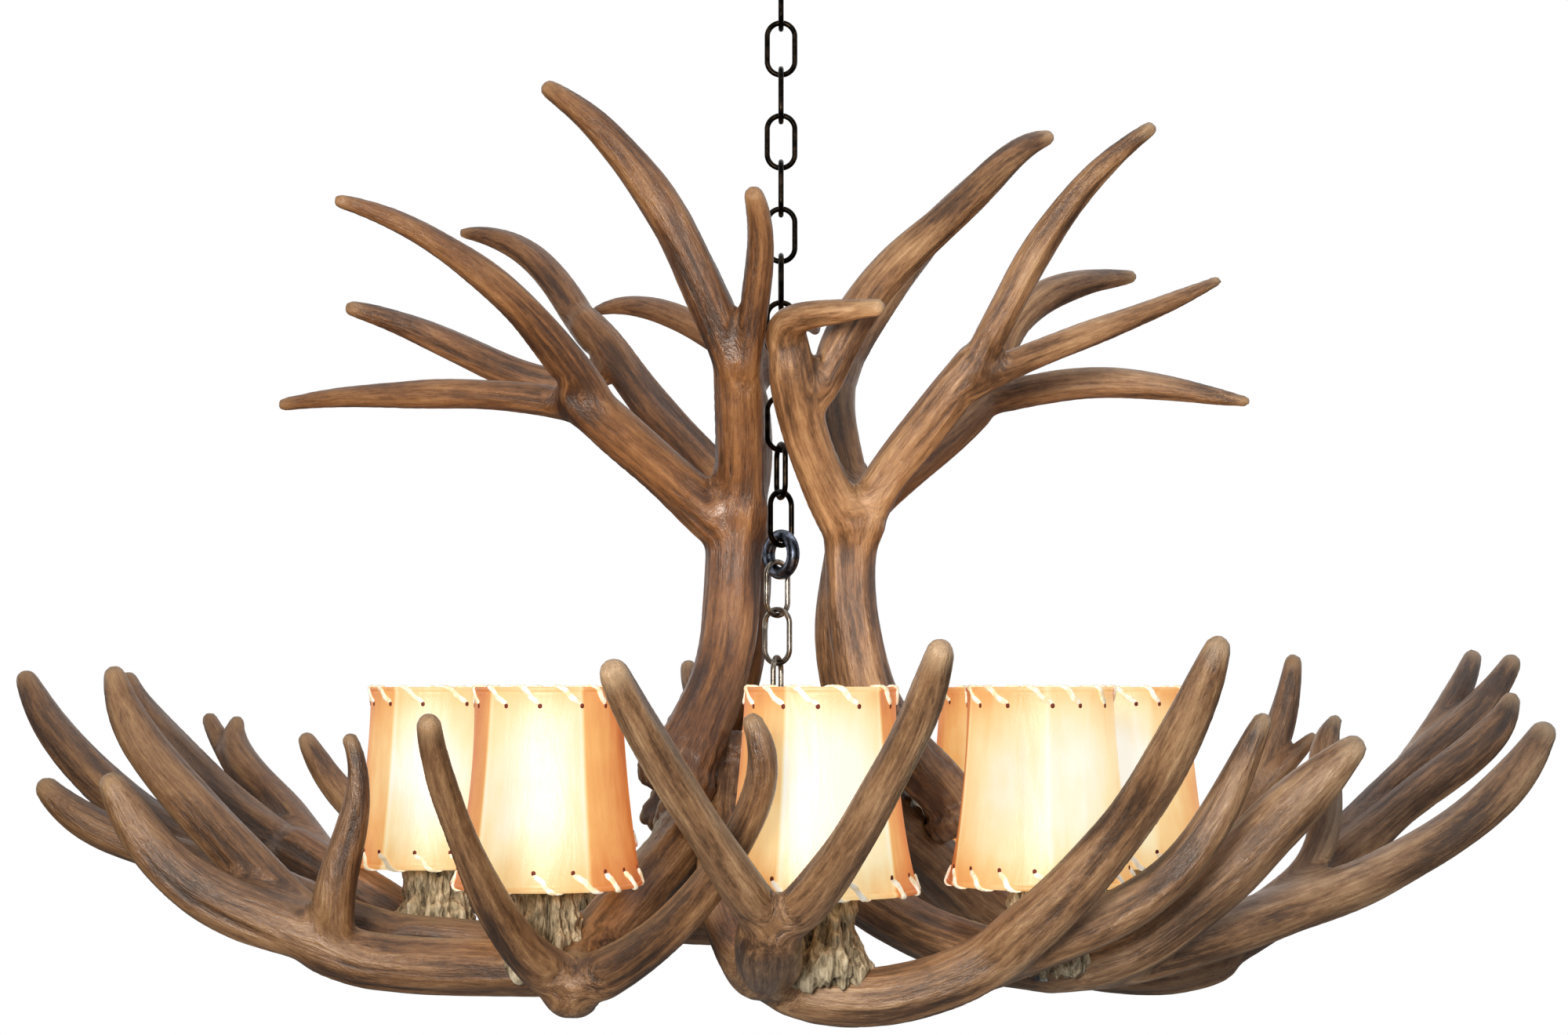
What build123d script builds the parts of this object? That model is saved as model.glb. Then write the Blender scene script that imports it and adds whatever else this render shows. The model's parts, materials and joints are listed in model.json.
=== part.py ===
"""Antler chandelier: four upper antlers and a ring of eight lower ones, cast in resin, on a chain.

Frame: millimetres, +Z up, +X to the viewer's right, +Y away from the viewer. The origin is the
middle of the canopy's ceiling face, so everything hangs below it. Points on the antlers are given
from the rim centre, which is on the hanging axis at the height of the shades' top rims.
"""
from build123d import *
import os
from math import cos, hypot, pi, radians, sin

os.makedirs("parts", exist_ok=True)

# ---- Driving dimensions -------------------------------------------------------------------
CEILING_BOX_SPACING = 88.9      # between the two screws of a ceiling outlet box
CANOPY_DIAMETER = 127.0
CANOPY_HEIGHT = 26.0
CANOPY_WALL = 1.2
CROSSBAR_LENGTH = 106.0
CROSSBAR_WIDTH = 16.0
CROSSBAR_THICKNESS = 2.0
NIPPLE_DIAMETER = 9.6
NIPPLE_BORE = 6.5
LOOP_WIRE = 4.4
LOOP_MEAN_RADIUS = 11.0
LOOP_DROP = 62.0                # ceiling face down to the middle of the loop's lowest wire

LINK_LENGTH = 39.0
LINK_WIDTH = 22.0
LINK_WIRE = 3.6
LINK_GAP = 0.3                  # air left between two wires that hang on each other
MAIN_LINKS = 13
SPARE_LINKS = 3

EYE_WIRE = 8.4
EYE_MEAN_RADIUS = 12.4
EYE_ABOVE_RIM = 88.0            # eye centre above the rim centre
EYE_AIM = (-24.0, 28.0)         # the eye's shank runs this way, through the rear left trunk
EYE_SHANK_REACH = 72.0

BALANCE = (-0.6, 11.6)          # the antlers and lamps sit this far off the chain, to hang level
LIGHT_RADIUS = 226.0            # middle of the ring to each lamp's axis
LIGHT_AZIMUTHS = (6, 43, 90, 135, 182, 225, 272, 323)   # degrees round from the viewer's side
SHADE_HEIGHT = 114.0
SHADE_TOP_RADIUS = 44.5
SHADE_BOTTOM_RADIUS = 57.0
SHADE_SIDES = 8
SHADE_THICKNESS = 1.4
FRAME_WIRE = 2.4                # the two rings of a shade's frame
RIB_WIRE = 1.8                  # its upright ribs, and the struts that carry the bulb clip
BULB_RADIUS = 17.5
BULB_LENGTH = 72.0
BULB_BASE_RADIUS = 6.4
SOCKET_RADIUS = 12.0
SOCKET_LENGTH = 40.0
BARK_FOOT_DEPTH = 165.0         # rim centre down to the foot of the bark cups
BARK_HEIGHT = 62.0
BARK_FOOT_RADIUS = 26.0
HUB_RADIUS = 47.0
HUB_TOP = -72.0                 # below the rim centre
HUB_BOTTOM = -138.0

# ---- Worked out ---------------------------------------------------------------------------
LINK_SPAN = LINK_LENGTH - LINK_WIRE                       # between the middles of a link's two ends
LINK_PITCH = LINK_SPAN - LINK_WIRE - LINK_GAP
FIRST_LINK_TOP = -LOOP_DROP + (LOOP_WIRE + LINK_WIRE) / 2 + LINK_GAP
LAST_LINK_END = FIRST_LINK_TOP - LINK_SPAN - (MAIN_LINKS - 1) * LINK_PITCH
EYE_CENTRE = LAST_LINK_END + (LINK_WIRE + EYE_WIRE) / 2 + LINK_GAP - EYE_MEAN_RADIUS
RIM = EYE_CENTRE - EYE_ABOVE_RIM
EYE_DIRECTION = (EYE_AIM[0] / hypot(*EYE_AIM), EYE_AIM[1] / hypot(*EYE_AIM))

# ---- Antler centre lines: (x, y, z, diameter) from the rim centre, base to tip --------------
FRONT_LEFT_UPPER = {
    "trunk": [(-66, -80, -60, 45), (-52, -76, -28, 40), (-40, -62, 4, 37), (-32, -50, 44, 36),
              (-30, -46, 84, 37), (-29, -46, 116, 44)],
    "branch": [(-32, -46, 102, 37), (-58, -52, 124, 33), (-88, -62, 150, 31), (-112, -72, 170, 32),
               (-130, -78, 186, 30)],
    "branch_high": [(-114, -74, 174, 25), (-138, -92, 210, 26), (-172, -116, 246, 22),
                    (-216, -138, 276, 16), (-266, -158, 294, 9)],
    "branch_low": [(-112, -74, 172, 27), (-152, -66, 184, 21), (-200, -56, 189, 20),
                   (-258, -42, 190, 17), (-326, -24, 186, 9)],
    "stem": [(-28, -46, 100, 37), (-26, -56, 140, 33), (-26, -68, 178, 32), (-28, -80, 212, 33)],
    "stem_left": [(-28, -80, 200, 26), (-46, -90, 248, 28), (-74, -98, 302, 26),
                  (-106, -100, 344, 21), (-146, -98, 378, 12)],
    "stem_right": [(-22, -84, 200, 20), (-16, -98, 240, 19), (-12, -112, 276, 18),
                   (-16, -128, 304, 13)],
}
FRONT_RIGHT_UPPER = {
    "trunk": [(116, -30, -84, 38), (84, -38, -44, 38), (58, -44, -6, 37), (48, -44, 40, 34),
              (46, -42, 80, 34), (48, -42, 108, 42)],
    "branch": [(48, -42, 98, 33), (64, -48, 128, 28), (86, -56, 158, 29), (110, -66, 188, 29),
               (126, -72, 208, 28)],
    "branch_high": [(118, -70, 196, 22), (142, -82, 238, 21), (168, -92, 284, 20),
                    (198, -100, 322, 16), (232, -108, 350, 10)],
    "branch_low": [(120, -70, 192, 23), (154, -66, 209, 19), (200, -56, 228, 17),
                   (248, -46, 248, 13), (286, -36, 266, 7)],
    "stem": [(48, -42, 96, 33), (30, -56, 130, 31), (16, -70, 164, 30), (8, -84, 196, 30),
             (6, -92, 220, 25)],
    "stem_cross": [(5, -88, 208, 23), (6, -100, 227, 23), (20, -116, 231, 18), (42, -128, 232, 14),
                   (60, -140, 232, 11)],
    "stem_high": [(18, -78, 178, 20), (36, -78, 212, 25), (62, -76, 256, 26), (104, -68, 298, 24),
                  (140, -60, 334, 21), (174, -50, 358, 11)],
}
REAR_LEFT_UPPER = {
    "trunk": [(-78, 60, -92, 35), (-50, 48, -38, 35), (-30, 34, 14, 36), (-24, 28, 62, 36),
              (-24, 28, 100, 36), (-28, 32, 130, 38)],
    "branch": [(-26, 32, 120, 33), (-54, 44, 156, 29), (-88, 62, 194, 28), (-116, 78, 232, 27),
               (-138, 88, 258, 25)],
    "branch_high": [(-128, 84, 242, 23), (-150, 98, 274, 23), (-178, 112, 308, 20),
                    (-204, 124, 324, 16), (-230, 134, 330, 8)],
    "branch_low": [(-118, 80, 226, 22), (-162, 80, 214, 22), (-216, 66, 232, 22),
                   (-258, 52, 250, 18), (-294, 40, 260, 11)],
    "stem": [(-26, 32, 120, 33), (-20, 52, 166, 30), (-24, 74, 206, 28), (-36, 96, 236, 27)],
    "stem_left": [(-26, 78, 222, 22), (-48, 104, 250, 21), (-76, 128, 268, 19),
                  (-104, 150, 279, 16), (-138, 172, 278, 7)],
    "stem_back": [(-24, 74, 206, 22), (-6, 100, 238, 21), (8, 130, 262, 19), (20, 164, 270, 15),
                  (26, 196, 268, 8)],
}
REAR_RIGHT_UPPER = {
    "trunk": [(84, 62, -92, 33), (58, 50, -38, 33), (42, 40, 10, 32), (40, 34, 52, 32),
              (46, 32, 94, 32), (54, 32, 124, 37)],
    "branch": [(50, 32, 114, 32), (80, 42, 144, 29), (108, 56, 168, 28), (136, 70, 194, 27),
               (156, 80, 216, 26)],
    "branch_high": [(146, 76, 204, 22), (160, 92, 248, 23), (184, 110, 276, 24),
                    (218, 128, 292, 20), (256, 146, 300, 10)],
    "branch_low": [(144, 74, 200, 23), (182, 66, 208, 23), (224, 54, 210, 21), (270, 40, 204, 17),
                   (316, 26, 194, 7)],
    "stem": [(50, 34, 114, 32), (44, 44, 152, 29), (38, 60, 194, 27), (46, 80, 226, 25)],
    "stem_out": [(42, 72, 212, 22), (60, 94, 252, 22), (87, 114, 295, 21), (120, 138, 338, 16),
                 (150, 160, 372, 8)],
    "stem_back": [(44, 74, 212, 21), (48, 116, 242, 20), (54, 156, 264, 17), (60, 184, 278, 14),
                  (66, 210, 286, 8)],
}
FRONT_RIGHT_LOWER = {
    "trunk": [(-28, -40, -42, 42), (-32, -62, -76, 40), (-32, -104, -104, 38), (-28, -160, -136, 35),
              (-18, -204, -154, 34), (-6, -236, -158, 36)],
    "fork": [(-6, -230, -154, 36), (-6, -274, -145, 37), (-5, -316, -128, 36)],
    "fork_left": [(2, -308, -132, 27), (-20, -336, -102, 24), (-44, -370, -62, 21),
                  (-66, -404, -22, 20), (-80, -430, 8, 15)],
    "fork_right": [(-10, -308, -132, 27), (22, -336, -102, 24), (46, -370, -62, 21),
                   (66, -404, -20, 20), (78, -436, 18, 14)],
    "beam": [(-12, -214, -156, 31), (16, -222, -172, 32), (60, -228, -173, 33),
             (104, -236, -159, 33), (130, -242, -142, 31)],
    "beam_outer": [(116, -238, -152, 29), (166, -262, -104, 30), (200, -284, -56, 27),
                   (220, -308, -14, 24), (232, -324, 22, 14)],
    "beam_inner": [(118, -234, -156, 26), (166, -224, -138, 28), (214, -222, -112, 26),
                   (248, -224, -72, 22), (274, -228, -18, 11)],
}
FRONT_LEFT_LOWER = {
    "trunk": [(-56, -38, -86, 43), (-68, -78, -104, 39), (-88, -124, -128, 38),
              (-110, -164, -152, 36), (-118, -196, -166, 37)],
    "fork": [(-117, -192, -165, 35), (-116, -224, -166, 37), (-114, -254, -164, 36)],
    "fork_left": [(-106, -248, -166, 30), (-140, -270, -142, 25), (-162, -310, -94, 18),
                  (-174, -344, -50, 16), (-178, -370, -18, 13)],
    "fork_right": [(-124, -248, -166, 31), (-84, -262, -150, 27), (-48, -282, -118, 23),
                   (-24, -296, -84, 20), (-10, -306, -50, 18), (-14, -310, -18, 12)],
    "beam": [(-108, -180, -158, 32), (-144, -180, -163, 33), (-190, -172, -163, 33),
             (-238, -164, -161, 34), (-276, -162, -148, 33)],
    "beam_low": [(-258, -163, -155, 31), (-308, -162, -134, 35), (-348, -164, -114, 31),
                 (-376, -166, -86, 26), (-394, -170, -56, 16)],
    "beam_high": [(-260, -160, -150, 28), (-306, -140, -118, 31), (-348, -124, -80, 29),
                  (-388, -112, -38, 26), (-412, -104, 8, 14)],
    "upright": [(-260, -167, -150, 23), (-258, -172, -106, 24), (-248, -176, -66, 16),
                (-252, -178, -30, 10)],
}
RIGHT_FRONT_LOWER = {
    "trunk": [(12, -44, -84, 40), (22, -70, -96, 40), (48, -100, -124, 37), (84, -124, -146, 35),
              (124, -144, -158, 34), (164, -156, -164, 33)],
    "beam_upper": [(154, -152, -164, 31), (206, -160, -152, 33), (252, -172, -118, 34),
                   (294, -186, -74, 32), (332, -200, -34, 16)],
    "beam_outer": [(152, -151, -164, 28), (224, -138, -158, 31), (294, -118, -140, 30),
                   (372, -96, -114, 28), (436, -76, -80, 27), (486, -60, -28, 17)],
    "upright": [(268, -124, -148, 19), (312, -100, -126, 21), (340, -84, -84, 20),
                (344, -72, -40, 19), (352, -66, -20, 9)],
}
RIGHT_LOWER = {
    "trunk": [(66, -10, -82, 43), (96, -14, -108, 39), (136, -8, -144, 37), (182, -2, -172, 36),
              (234, 4, -184, 34), (290, 8, -176, 32)],
    "beam": [(270, 6, -178, 31), (318, 8, -156, 30), (360, 10, -120, 29)],
    "beam_low": [(346, 10, -130, 26), (400, 16, -90, 27), (448, 22, -54, 26), (480, 26, -28, 22),
                 (492, 28, -8, 13)],
    "beam_high": [(348, 14, -130, 26), (394, 40, -86, 26), (444, 62, -46, 26), (488, 80, -10, 22),
                  (512, 92, 18, 14)],
    "beam_back": [(390, 38, -90, 19), (446, 80, -42, 21), (476, 104, -6, 20), (494, 124, 22, 13)],
}
LEFT_REAR_LOWER = {
    "trunk": [(-46, 30, -104, 40), (-72, 22, -138, 37), (-132, 8, -167, 35), (-194, 6, -172, 34),
              (-254, 10, -152, 33)],
    "beam": [(-240, 8, -154, 32), (-294, 14, -124, 31), (-326, 20, -106, 30)],
    "beam_low": [(-310, 20, -114, 28), (-358, 40, -90, 29), (-404, 62, -54, 27),
                 (-438, 78, -22, 23), (-456, 90, 6, 13)],
    "beam_high": [(-292, 16, -124, 24), (-332, 60, -92, 26), (-370, 96, -58, 22),
                  (-386, 112, -38, 19), (-386, 119, -24, 11)],
    "beam_back": [(-306, 24, -118, 23), (-346, 84, -94, 24), (-384, 112, -56, 19),
                  (-408, 130, -22, 11)],
}
LEFT_FRONT_LOWER = {
    "trunk": [(-44, -26, -112, 40), (-80, -46, -140, 37), (-126, -72, -158, 35),
              (-182, -92, -160, 34), (-238, -96, -154, 32)],
    "beam": [(-224, -96, -156, 31), (-286, -84, -140, 31), (-336, -70, -116, 30)],
    "beam_high": [(-320, -74, -124, 28), (-376, -58, -98, 28), (-432, -40, -64, 27),
                  (-472, -26, -26, 23), (-494, -16, 6, 14)],
    "beam_low": [(-312, -78, -128, 26), (-360, -84, -110, 26), (-402, -86, -96, 25),
                 (-436, -86, -80, 22), (-458, -86, -62, 15)],
}
# The two rear antlers repeat the trunks and forks of the front pair, half a turn round.
REAR_LEFT_OWN = {
    "beam": [(6, 212, -164, 35), (-20, 224, -172, 36), (-68, 220, -172, 36), (-118, 196, -168, 35),
             (-158, 176, -166, 33), (-200, 172, -155, 32)],
    "beam_outer": [(-188, 172, -160, 31), (-244, 180, -136, 29), (-292, 192, -106, 25),
                   (-332, 202, -70, 22), (-354, 208, -38, 13)],
    "beam_inner": [(-148, 182, -167, 29), (-184, 212, -152, 29), (-212, 246, -114, 25),
                   (-228, 276, -68, 21), (-234, 292, -22, 12)],
}
REAR_RIGHT_OWN = {
    "beam": [(108, 180, -158, 32), (144, 180, -162, 33), (190, 172, -162, 33), (238, 164, -161, 34),
             (274, 166, -149, 33)],
    "beam_high": [(256, 165, -155, 32), (302, 180, -132, 30), (342, 192, -88, 27),
                  (370, 198, -30, 22), (382, 200, 20, 13)],
    "beam_small": [(328, 189, -102, 17), (356, 188, -74, 16), (378, 186, -50, 14),
                   (392, 184, -36, 9)],
}


def half_turn(limbs, names):
    """The named limbs of an antler, turned 180 degrees round the hanging axis."""
    return {name: [(-x, -y, z, d) for x, y, z, d in limbs[name]] for name in names}


ANTLERS = {
    "upper_antler_front_left": FRONT_LEFT_UPPER,
    "upper_antler_front_right": FRONT_RIGHT_UPPER,
    "upper_antler_rear_left": REAR_LEFT_UPPER,
    "upper_antler_rear_right": REAR_RIGHT_UPPER,
    "ring_antler_front_right": FRONT_RIGHT_LOWER,
    "ring_antler_front_left": FRONT_LEFT_LOWER,
    "ring_antler_right_front": RIGHT_FRONT_LOWER,
    "ring_antler_right": RIGHT_LOWER,
    "ring_antler_left_rear": LEFT_REAR_LOWER,
    "ring_antler_left_front": LEFT_FRONT_LOWER,
    "ring_antler_rear_left":
        half_turn(FRONT_RIGHT_LOWER, ("trunk", "fork", "fork_left", "fork_right")) | REAR_LEFT_OWN,
    "ring_antler_rear_right":
        half_turn(FRONT_LEFT_LOWER, ("trunk", "fork", "fork_left", "fork_right")) | REAR_RIGHT_OWN,
}

# Where two butts meet, the later antler is coped to fit round the earlier one.
COPED_ROUND = {
    "ring_antler_front_right": ("upper_antler_front_left",),
    "ring_antler_front_left": ("upper_antler_front_left", "ring_antler_front_right"),
    "ring_antler_right": ("upper_antler_front_right",),
    "ring_antler_left_rear": ("upper_antler_rear_left",),
    "ring_antler_left_front": ("ring_antler_front_left", "ring_antler_left_rear"),
    "ring_antler_rear_left": ("upper_antler_rear_right",),
    "ring_antler_rear_right": ("upper_antler_rear_right", "ring_antler_rear_left"),
}

# The crown round a base, in shares of the base's radius: place and size.
BURR_STEPS = ((-0.3, 0.86), (0.0, 1.14), (0.3, 1.16), (0.6, 0.98))
TIP_INSET = 0.12                # a tip's dome is set back and a little smaller, in tip radii
TIP_SIZE = 0.98


def along(points, index):
    """Direction of a centre line at one of its points."""
    before = points[max(index - 1, 0)]
    after = points[min(index + 1, len(points) - 1)]
    return (Vector(*after[:3]) - Vector(*before[:3])).normalized()


def sections(points):
    """(plane, radius) of the round section at each point of a limb, with no twist between them."""
    found = []
    side = Vector(0, 1, 0) if abs(along(points, 0).Y) < 0.9 else Vector(1, 0, 0)
    for index, (x, y, z, diameter) in enumerate(points):
        heading = along(points, index)
        side = (side - heading * side.dot(heading)).normalized()
        middle = (x + BALANCE[0], y + BALANCE[1], z + RIM)
        found.append((Plane(middle, x_dir=side, z_dir=heading), diameter / 2))
    return found


# ---- Antlers -------------------------------------------------------------------------------
finished = {}
for antler_name, limbs in ANTLERS.items():
    with BuildPart() as antler:
        for limb_points in limbs.values():
            limb_sections = sections(limb_points)
            for section_plane, section_radius in limb_sections:
                with BuildSketch(section_plane):
                    Circle(section_radius)
            loft()
            tip_plane, tip_radius = limb_sections[-1]
            with Locations(tip_plane.offset(-TIP_INSET * tip_radius)):
                Sphere(TIP_SIZE * tip_radius)
        base_plane, base_radius = sections(limbs["trunk"])[0]
        for step, size in BURR_STEPS:
            with BuildSketch(base_plane.offset(step * base_radius)):
                Circle(size * base_radius)
        loft()
        for neighbour in COPED_ROUND.get(antler_name, ()):
            add(finished[neighbour], mode=Mode.SUBTRACT)
    antler.part.label = antler_name
    finished[antler_name] = antler.part
    export_step(antler.part, f"parts/{antler_name}.step")
    print(antler_name, len(antler.solids()), round(antler.part.volume / 1000), "cm3")

# ---- Ceiling fittings ----------------------------------------------------------------------
SLOT_WIDTH = 5.0
SLOT_LENGTH = 9.0               # between the middles of a slot's two round ends
NIPPLE_CLEARANCE = 0.2          # all round the nipple where it passes through a plate
THREAD_GAP = 0.05               # all round a thread
with BuildPart() as canopy_crossbar:
    with BuildSketch(Plane.XY.offset(-CROSSBAR_THICKNESS)):
        SlotOverall(CROSSBAR_LENGTH, CROSSBAR_WIDTH)
        Circle(NIPPLE_DIAMETER / 2 + NIPPLE_CLEARANCE, mode=Mode.SUBTRACT)
        with Locations((-CEILING_BOX_SPACING / 2, 0), (CEILING_BOX_SPACING / 2, 0)):
            SlotOverall(SLOT_LENGTH + SLOT_WIDTH, SLOT_WIDTH, mode=Mode.SUBTRACT)
    extrude(amount=CROSSBAR_THICKNESS)
canopy_crossbar.part.label = "canopy_crossbar"
export_step(canopy_crossbar.part, "parts/canopy_crossbar.step")

NIPPLE_START = -0.5             # just under the ceiling
NIPPLE_END = -36.0
with BuildPart() as crossbar_nipple:
    with BuildSketch(Plane.XY.offset(NIPPLE_END)):
        Circle(NIPPLE_DIAMETER / 2)
        Circle(NIPPLE_BORE / 2, mode=Mode.SUBTRACT)
    extrude(amount=NIPPLE_START - NIPPLE_END)
crossbar_nipple.part.label = "crossbar_nipple"
export_step(crossbar_nipple.part, "parts/crossbar_nipple.step")

LOCKNUT_ACROSS_FLATS = 16.0
LOCKNUT_HEIGHT = 3.5
with BuildPart() as nipple_locknut:
    with BuildSketch(Plane.XY.offset(-CROSSBAR_THICKNESS - LOCKNUT_HEIGHT)):
        RegularPolygon(LOCKNUT_ACROSS_FLATS / 2, 6, major_radius=False)
        Circle(NIPPLE_DIAMETER / 2 + THREAD_GAP, mode=Mode.SUBTRACT)
    extrude(amount=LOCKNUT_HEIGHT)
nipple_locknut.part.label = "nipple_locknut"
export_step(nipple_locknut.part, "parts/nipple_locknut.step")

# A spun dish: a flat rim on the ceiling, a quarter-round shoulder and a shallow crown.
CANOPY_SHOULDER = 16.0
CANOPY_RIM = 4.0                # height of the straight rim at the ceiling
with BuildPart() as ceiling_canopy:
    with BuildSketch(Plane.XZ):
        with BuildLine():
            shoulder_top = (CANOPY_DIAMETER / 2, -CANOPY_RIM)
            shoulder_end = (CANOPY_DIAMETER / 2 - CANOPY_SHOULDER, -CANOPY_RIM - CANOPY_SHOULDER)
            hole_edge = (NIPPLE_DIAMETER / 2 + 2 * NIPPLE_CLEARANCE, -CANOPY_HEIGHT)
            outer_rim = Line((CANOPY_DIAMETER / 2, 0), shoulder_top)
            shoulder = TangentArc(shoulder_top, shoulder_end, tangent=(0, -1))
            crown = Line(shoulder_end, hole_edge)
            offset(amount=CANOPY_WALL, side=Side.RIGHT)
        make_face()
    revolve(axis=Axis.Z)
ceiling_canopy.part.label = "ceiling_canopy"
export_step(ceiling_canopy.part, "parts/ceiling_canopy.step")

# The loop's threaded collar holds the canopy up against the ceiling.
COLLAR_RADIUS = 11.0
COLLAR_HEIGHT = 13.5
COLLAR_EDGE = 3.0               # chamfer round the collar's foot
COLLAR_TOP = -CANOPY_HEIGHT - 0.3
with BuildPart() as canopy_loop:
    with BuildSketch(Plane.XY.offset(COLLAR_TOP - COLLAR_HEIGHT)):
        Circle(COLLAR_RADIUS)
    extrude(amount=COLLAR_HEIGHT)
    chamfer(canopy_loop.edges().filter_by(GeomType.CIRCLE).group_by(Axis.Z)[0], COLLAR_EDGE)
    with BuildSketch(Plane.XY.offset(NIPPLE_END + NIPPLE_START)):
        Circle(NIPPLE_DIAMETER / 2 + THREAD_GAP)
    extrude(amount=COLLAR_HEIGHT, mode=Mode.SUBTRACT)
    with Locations(Plane((0, 0, -LOOP_DROP + LOOP_MEAN_RADIUS), z_dir=(1, 0, 0))):
        Torus(LOOP_MEAN_RADIUS, LOOP_WIRE / 2)
canopy_loop.part.label = "canopy_loop"
export_step(canopy_loop.part, "parts/canopy_loop.step")

GROUND_SCREW_OUT = 22.0         # along the crossbar from its middle
GROUND_HEX_RADIUS = 4.0
GROUND_HEX_HEIGHT = 3.0
GROUND_DOME_RADIUS = 3.2
GROUND_DOME_HEIGHT = 1.0
with BuildPart() as ground_screw:
    with BuildSketch(Plane((GROUND_SCREW_OUT, 0, -CROSSBAR_THICKNESS))):
        RegularPolygon(GROUND_HEX_RADIUS, 6)
    extrude(amount=-GROUND_HEX_HEIGHT)
    with BuildSketch(Plane((GROUND_SCREW_OUT, 0, -CROSSBAR_THICKNESS - GROUND_HEX_HEIGHT))):
        Circle(GROUND_DOME_RADIUS)
    extrude(amount=-GROUND_DOME_HEIGHT)
ground_screw.part.label = "ground_screw"
export_step(ground_screw.part, "parts/ground_screw.step")


# ---- Chains --------------------------------------------------------------------------------
def link_plane(end_point, yaw):
    """Plane of one link: the origin is the middle of its lower end, and local Y runs up the link."""
    across = (cos(radians(yaw)), sin(radians(yaw)))
    return Plane(end_point, x_dir=(across[0], across[1], 0), z_dir=(across[1], -across[0], 0))


LINK_BEND = (LINK_WIDTH - LINK_WIRE) / 2
MAIN_YAWS = (0, 90, 0, 90, 0, 90, 0, 91, 3, 95, 12, 108, 41)   # turn about the axis, top first
link_ends = [FIRST_LINK_TOP - LINK_SPAN - number * LINK_PITCH for number in range(MAIN_LINKS)]
SPARE_YAWS = (41, 152, 74)
SPARE_HOOK = 40                 # degrees: the spare chain hangs a little to the trunk's side of the eye
SPARE_REACH = EYE_MEAN_RADIUS - (EYE_WIRE + LINK_WIRE) / 2 - LINK_GAP
spare_across = SPARE_REACH * sin(radians(SPARE_HOOK))
spare_x = spare_across * EYE_DIRECTION[0]
spare_y = spare_across * EYE_DIRECTION[1]
spare_top = EYE_CENTRE - SPARE_REACH * cos(radians(SPARE_HOOK))
spare_ends = [spare_top - LINK_SPAN - number * LINK_PITCH for number in range(SPARE_LINKS)]

links = {}
for number in range(MAIN_LINKS):
    links[f"chain_link_{number + 1:02d}"] = (0, 0, link_ends[number], MAIN_YAWS[number])
for number in range(SPARE_LINKS):
    links[f"spare_link_{number + 1}"] = (spare_x, spare_y, spare_ends[number], SPARE_YAWS[number])

for link_name, (link_x, link_y, link_end, link_yaw) in links.items():
    with BuildPart() as chain_link:
        with BuildLine(link_plane((link_x, link_y, link_end), link_yaw)) as link_path:
            low = LINK_BEND
            high = LINK_SPAN - LINK_BEND
            right_side = Line((LINK_BEND, low), (LINK_BEND, high))
            top_end = ThreePointArc((LINK_BEND, high), (0, LINK_SPAN), (-LINK_BEND, high))
            left_side = Line((-LINK_BEND, high), (-LINK_BEND, low))
            bottom_end = ThreePointArc((-LINK_BEND, low), (0, 0), (LINK_BEND, low))
        with BuildSketch(Plane(right_side @ 0, z_dir=right_side % 0)):
            Circle(LINK_WIRE / 2)
        sweep(path=link_path.wires()[0])
    chain_link.part.label = link_name
    export_step(chain_link.part, f"parts/{link_name}.step")

# ---- Eye bolt through the rear left trunk ----------------------------------------------------
eye_axis_plane = Plane(
    (EYE_DIRECTION[0] * EYE_MEAN_RADIUS, EYE_DIRECTION[1] * EYE_MEAN_RADIUS, EYE_CENTRE),
    x_dir=(0, 0, 1), z_dir=(*EYE_DIRECTION, 0))
EYE_SHANK_RADIUS = 3.6
with BuildPart() as eye_bolt:
    with Locations(Plane((0, 0, EYE_CENTRE), z_dir=(-EYE_DIRECTION[1], EYE_DIRECTION[0], 0))):
        Torus(EYE_MEAN_RADIUS, EYE_WIRE / 2)
    with BuildSketch(eye_axis_plane):
        Circle(EYE_SHANK_RADIUS)
    extrude(amount=EYE_SHANK_REACH - EYE_MEAN_RADIUS)
eye_bolt.part.label = "eye_bolt"
export_step(eye_bolt.part, "parts/eye_bolt.step")

EYE_NUT_HEIGHT = 5.0
EYE_NUT_RADIUS = 6.5            # to its corners
EYE_WASHER_RADIUS = 9.0
EYE_WASHER_HEIGHT = 1.4
SHANK_GAP = 0.1
BOLT_END_PROUD = 2.0            # of the shank past its nut
nut_seat = EYE_SHANK_REACH - EYE_MEAN_RADIUS - EYE_NUT_HEIGHT - BOLT_END_PROUD
with BuildPart() as eye_bolt_nut:
    with BuildSketch(eye_axis_plane.offset(nut_seat)):
        RegularPolygon(EYE_NUT_RADIUS, 6)
        Circle(EYE_SHANK_RADIUS + SHANK_GAP, mode=Mode.SUBTRACT)
    extrude(amount=EYE_NUT_HEIGHT)
    with BuildSketch(eye_axis_plane.offset(nut_seat - EYE_WASHER_HEIGHT)):
        Circle(EYE_WASHER_RADIUS)
        Circle(EYE_SHANK_RADIUS + SHANK_GAP, mode=Mode.SUBTRACT)
    extrude(amount=EYE_WASHER_HEIGHT)
eye_bolt_nut.part.label = "eye_bolt_nut"
export_step(eye_bolt_nut.part, "parts/eye_bolt_nut.step")

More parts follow.
